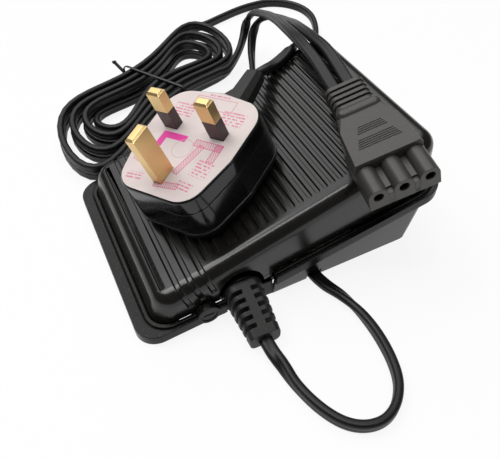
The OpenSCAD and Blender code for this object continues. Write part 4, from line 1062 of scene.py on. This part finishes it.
# %% [markdown]
# ### The screws
# Each has a low head with a crossed recess, on a plain shank, because the thread is out of
# sight in its hole. A blunt cone, two crossed bars cut out of it and a cylinder make it, and
# Half Turns puts the head up or down. A modelled screw copied by hand would do as well, but
# here one set of sizes changes all the screws of a kind.

# %% Tree of the screws
RECESS_DEPTH, RECESS_WIDTH, HEAD_TAPER = 1.45, 1.2, 0.9

screw, screw_in, screw_out = geometry_tree("cross_screw", [
    "Head Radius", "Head Height", "Shank Radius", "Shank Length", "Slot Width", "Half Turns"])
head = add(screw, "GeometryNodeMeshCone", {
    "Vertices": 40, "Radius Top": maths(screw, "MULTIPLY", screw_in["Head Radius"], HEAD_TAPER),
    "Radius Bottom": screw_in["Head Radius"], "Depth": screw_in["Head Height"]})
slot_size = add(screw, "ShaderNodeCombineXYZ", {
    0: maths(screw, "MULTIPLY", screw_in["Head Radius"], RECESS_WIDTH), 1: screw_in["Slot Width"],
    2: screw_in["Head Height"]}).outputs[0]
bar = add(screw, "GeometryNodeMeshCube", {"Size": slot_size}).outputs[0]
crossbar = add(screw, "GeometryNodeTransform", {
    "Geometry": bar, "Rotation": (0, 0, math.pi / 2)}).outputs[0]
recess = add(screw, "GeometryNodeMeshBoolean", operation="UNION")
screw.links.new(bar, recess.inputs["Mesh 2"])
screw.links.new(crossbar, recess.inputs["Mesh 2"])
recess_up = add(screw, "ShaderNodeCombineXYZ", {
    2: maths(screw, "MULTIPLY", screw_in["Head Height"], RECESS_DEPTH)}).outputs[0]
raised = add(screw, "GeometryNodeTransform", {
    "Geometry": recess.outputs[0], "Translation": recess_up}).outputs[0]
cut = add(screw, "GeometryNodeMeshBoolean", {
    "Mesh 1": head.outputs[0], "Mesh 2": raised}, operation="DIFFERENCE")
shank = add(screw, "GeometryNodeMeshCylinder", {
    "Vertices": 24, "Radius": screw_in["Shank Radius"], "Depth": screw_in["Shank Length"]})
below = add(screw, "GeometryNodeTransform", {
    "Geometry": shank.outputs[0], "Translation": add(screw, "ShaderNodeCombineXYZ", {
        2: maths(screw, "MULTIPLY", screw_in["Shank Length"], -0.49)}).outputs[0]}).outputs[0]
whole = add(screw, "GeometryNodeJoinGeometry")
for part in (cut.outputs[0], below):
    screw.links.new(part, whole.inputs[0])
way_up = add(screw, "GeometryNodeTransform", {
    "Geometry": whole.outputs[0], "Rotation": add(screw, "ShaderNodeCombineXYZ", {
        0: maths(screw, "MULTIPLY", screw_in["Half Turns"], math.pi)}).outputs[0]}).outputs[0]
on_points(screw, screw_in, screw_out, way_up)
print(screw.name, "nodes", len(screw.nodes))

# %% Screws of the plate and of the board: head, shank and slot in millimetres
for node, name, head_up, sizes in (
    ("base_screws", "plate_screws", False, (2.7, 0.95, 1.2, 4.55, 0.6)),
    ("pcb_screws", "board_screws", True, (2.6, 1.4, 1.0, 6.0, 0.5)),
):
    sizes = [s * MM for s in sizes]
    points = [Vector((x, y, high - sizes[1] if head_up else low + sizes[1]))
              for x, y, low, high in islands(node)]
    values = dict(zip(("Head Radius", "Head Height", "Shank Radius", "Shank Length",
                       "Slot Width"), sizes), **{"Half Turns": 0.0 if head_up else 1.0})
    screws = grown(name, screw, points, values, steel)
    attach(screws, "base")
    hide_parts(node)
    print(name, len(points), "screws,", len(screws.data.polygons), "faces")

# %% [markdown]
# ### The springs
# Two steel springs push the foot plate up. Each is a wire along a spiral of six turns, and a
# Screw modifier could make it too, but here its height is an input.

# %% Tree of the springs
spring, spring_in, spring_out = geometry_tree("coil_spring", [
    "Radius", "Wire Radius", "Height", "Turns"])
helix = add(spring, "GeometryNodeCurveSpiral", {
    "Resolution": 32, "Rotations": spring_in["Turns"], "Start Radius": spring_in["Radius"],
    "End Radius": spring_in["Radius"], "Height": maths(
        spring, "SUBTRACT", spring_in["Height"], maths(
            spring, "MULTIPLY", spring_in["Wire Radius"], 2))})
wire = add(spring, "GeometryNodeCurvePrimitiveCircle", {
    "Resolution": 10, "Radius": spring_in["Wire Radius"]})
coil = add(spring, "GeometryNodeCurveToMesh", {
    "Curve": helix.outputs[0], "Profile Curve": wire.outputs[0], "Fill Caps": True})
lifted = add(spring, "GeometryNodeTransform", {
    "Geometry": coil.outputs[0], "Translation": add(spring, "ShaderNodeCombineXYZ", {
        2: spring_in["Wire Radius"]}).outputs[0]}).outputs[0]
smooth = add(spring, "GeometryNodeSetShadeSmooth", {"Geometry": lifted}).outputs[0]
on_points(spring, spring_in, spring_out, smooth)
print(spring.name, "nodes", len(spring.nodes))

# %% Springs
COIL_RADIUS, WIRE_RADIUS, COIL_TURNS = 4.2 * MM, 0.55 * MM, 6.0

places = islands("return_springs")
tall = places[0][3] - places[0][2]
springs = grown("coil_springs", spring, [Vector(p[:3]) for p in places], {
    "Radius": COIL_RADIUS, "Wire Radius": WIRE_RADIUS, "Height": tall,
    "Turns": COIL_TURNS}, steel)
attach(springs, "base")
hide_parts("return_springs")
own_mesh(springs)
print("springs", len(places), "of height", round(tall / MM, 1), "mm,",
      len(springs.data.polygons), "faces")

# %% [markdown]
# ## The pieces on the leads
# A lead is limp, so whoever uses the model may lay it anew. The pedal lead carries the
# connector, and the mains lead carries the plug and the tie; the pieces of the connector and
# of the plug are gathered in two lists.

# %% Pieces at the ends of the leads
def named(*names):
    """The objects of these names, in this order."""
    return [bpy.data.objects[n] for n in names]


connector_pieces = named("connector_moulding", "connector_barrels")
connector_pieces += [barrel_webs, frame["nodes"]["contact_sleeves"]]
plug_pieces = named("plug_moulding", "plug_face_moulding", "earth_pin_brass",
                    "line_pins_brass", "pin_sleeves_moulding", "boot_moulding")
plug_pieces += [plug_print, frame["nodes"]["plug_fuse"]]
print("on the pedal lead", len(connector_pieces), "pieces, on the mains lead",
      len(plug_pieces) + 1)

# %% Cords
print("declared", pedal_lead.name, "and", mains_lead.name)

# %% [markdown]
# ## Floor
# The pedal stands on a plain white floor, so wide that its edge shows only in low views.
# White paint alone would look grey in this light, and more light would wash out the pedal.
# So the camera, and what reflects the floor, see it glow, and it keeps the pedal's shadow.

# %% Floor
FLOOR_SIZE, GLOW_SHARE = 4, 0.88

bm = bmesh.new()
bmesh.ops.create_grid(bm, x_segments=1, y_segments=1, size=FLOOR_SIZE)
floor = from_bmesh("floor", bm)
paper = bpy.data.materials.new("paper")
paper.use_nodes = True
tree = paper.node_tree
sheet = tree.nodes["Principled BSDF"]
sheet.inputs["Base Color"].default_value = (0.9, 0.9, 0.9, 1)
sheet.inputs["Roughness"].default_value = 0.9
glow = add(tree, "ShaderNodeEmission", {"Color": (1, 1, 1, 1), "Strength": 1.0})
ray = add(tree, "ShaderNodeLightPath").outputs
seen = maths(tree, "MAXIMUM", ray["Is Camera Ray"], ray["Is Glossy Ray"])
seen = maths(tree, "MAXIMUM", seen, ray["Is Transmission Ray"])
blend = add(tree, "ShaderNodeMixShader", {
    0: maths(tree, "MULTIPLY", seen, GLOW_SHARE), 1: sheet.outputs[0], 2: glow.outputs[0]})
tree.links.new(blend.outputs[0], tree.nodes["Material Output"].inputs["Surface"])
floor.data.materials.append(paper)
print("floor", 2 * FLOOR_SIZE, "m across")

# %% [markdown]
# ## Lamps
# A soft square lamp behind and to the left gives the pedal its shadow and shapes its sides.
# A long narrow one overhead, toward the near side, draws a bright line along the edges.


# %% Lamps
def area_light(name, place, target, width, height, power):
    """A rectangular lamp at a place, turned to its target."""
    light = bpy.data.lights.new(name, "AREA")
    light.shape = "RECTANGLE"
    light.size, light.size_y, light.energy = width, height, power
    obj = bpy.data.objects.new(name, light)
    obj.location = place
    obj.rotation_euler = (Vector(target) - Vector(place)).to_track_quat("-Z", "Y").to_euler()
    scene.collection.objects.link(obj)
    print(name, "lamp", power, "W")


area_light("key", (-0.7, 0.5, 1.3), (0, 0.02, 0), 0.6, 0.6, 5.5)
area_light("strip", (-0.1, -0.22, 1.2), (0, 0, 0), 1.2, 0.1, 4.6)

# %% [markdown]
# ## Room
# Glossy black plastic shows mostly what it reflects. The room is dim, with one wide soft
# patch of light behind the object and overhead, and that patch is the grey sheen on the
# foot plate. The camera itself sees the room white.

# %% World
PATCH_MIDDLE = Vector((0.0, 0.5, 0.86)).normalized()
PATCH_EDGE, PATCH_CORE = 0.72, 0.95  # cosines of the angle from its middle
ROOM_LIGHT, PATCH_LIGHT = 0.11, 2.0

world = bpy.data.worlds.new("studio")
scene.world = world
world.use_nodes = True
tree = world.node_tree
background = tree.nodes["Background"]
toward = add(tree, "ShaderNodeVectorMath", {
    0: add(tree, "ShaderNodeTexCoord").outputs["Generated"], 1: PATCH_MIDDLE},
    operation="DOT_PRODUCT").outputs["Value"]
light_patch = add(tree, "ShaderNodeMapRange", {
    "Value": toward, "From Min": PATCH_EDGE, "From Max": PATCH_CORE, "To Min": ROOM_LIGHT,
    "To Max": PATCH_LIGHT}, interpolation_type="SMOOTHSTEP")
is_camera = add(tree, "ShaderNodeLightPath").outputs["Is Camera Ray"]
strength = maths(tree, "MAXIMUM", is_camera, light_patch.outputs[0])
background.inputs["Color"].default_value = (1, 1, 1, 1)
tree.links.new(strength, background.inputs["Strength"])
scene.view_settings.view_transform = "Standard"
print("room", ROOM_LIGHT, "to", PATCH_LIGHT)
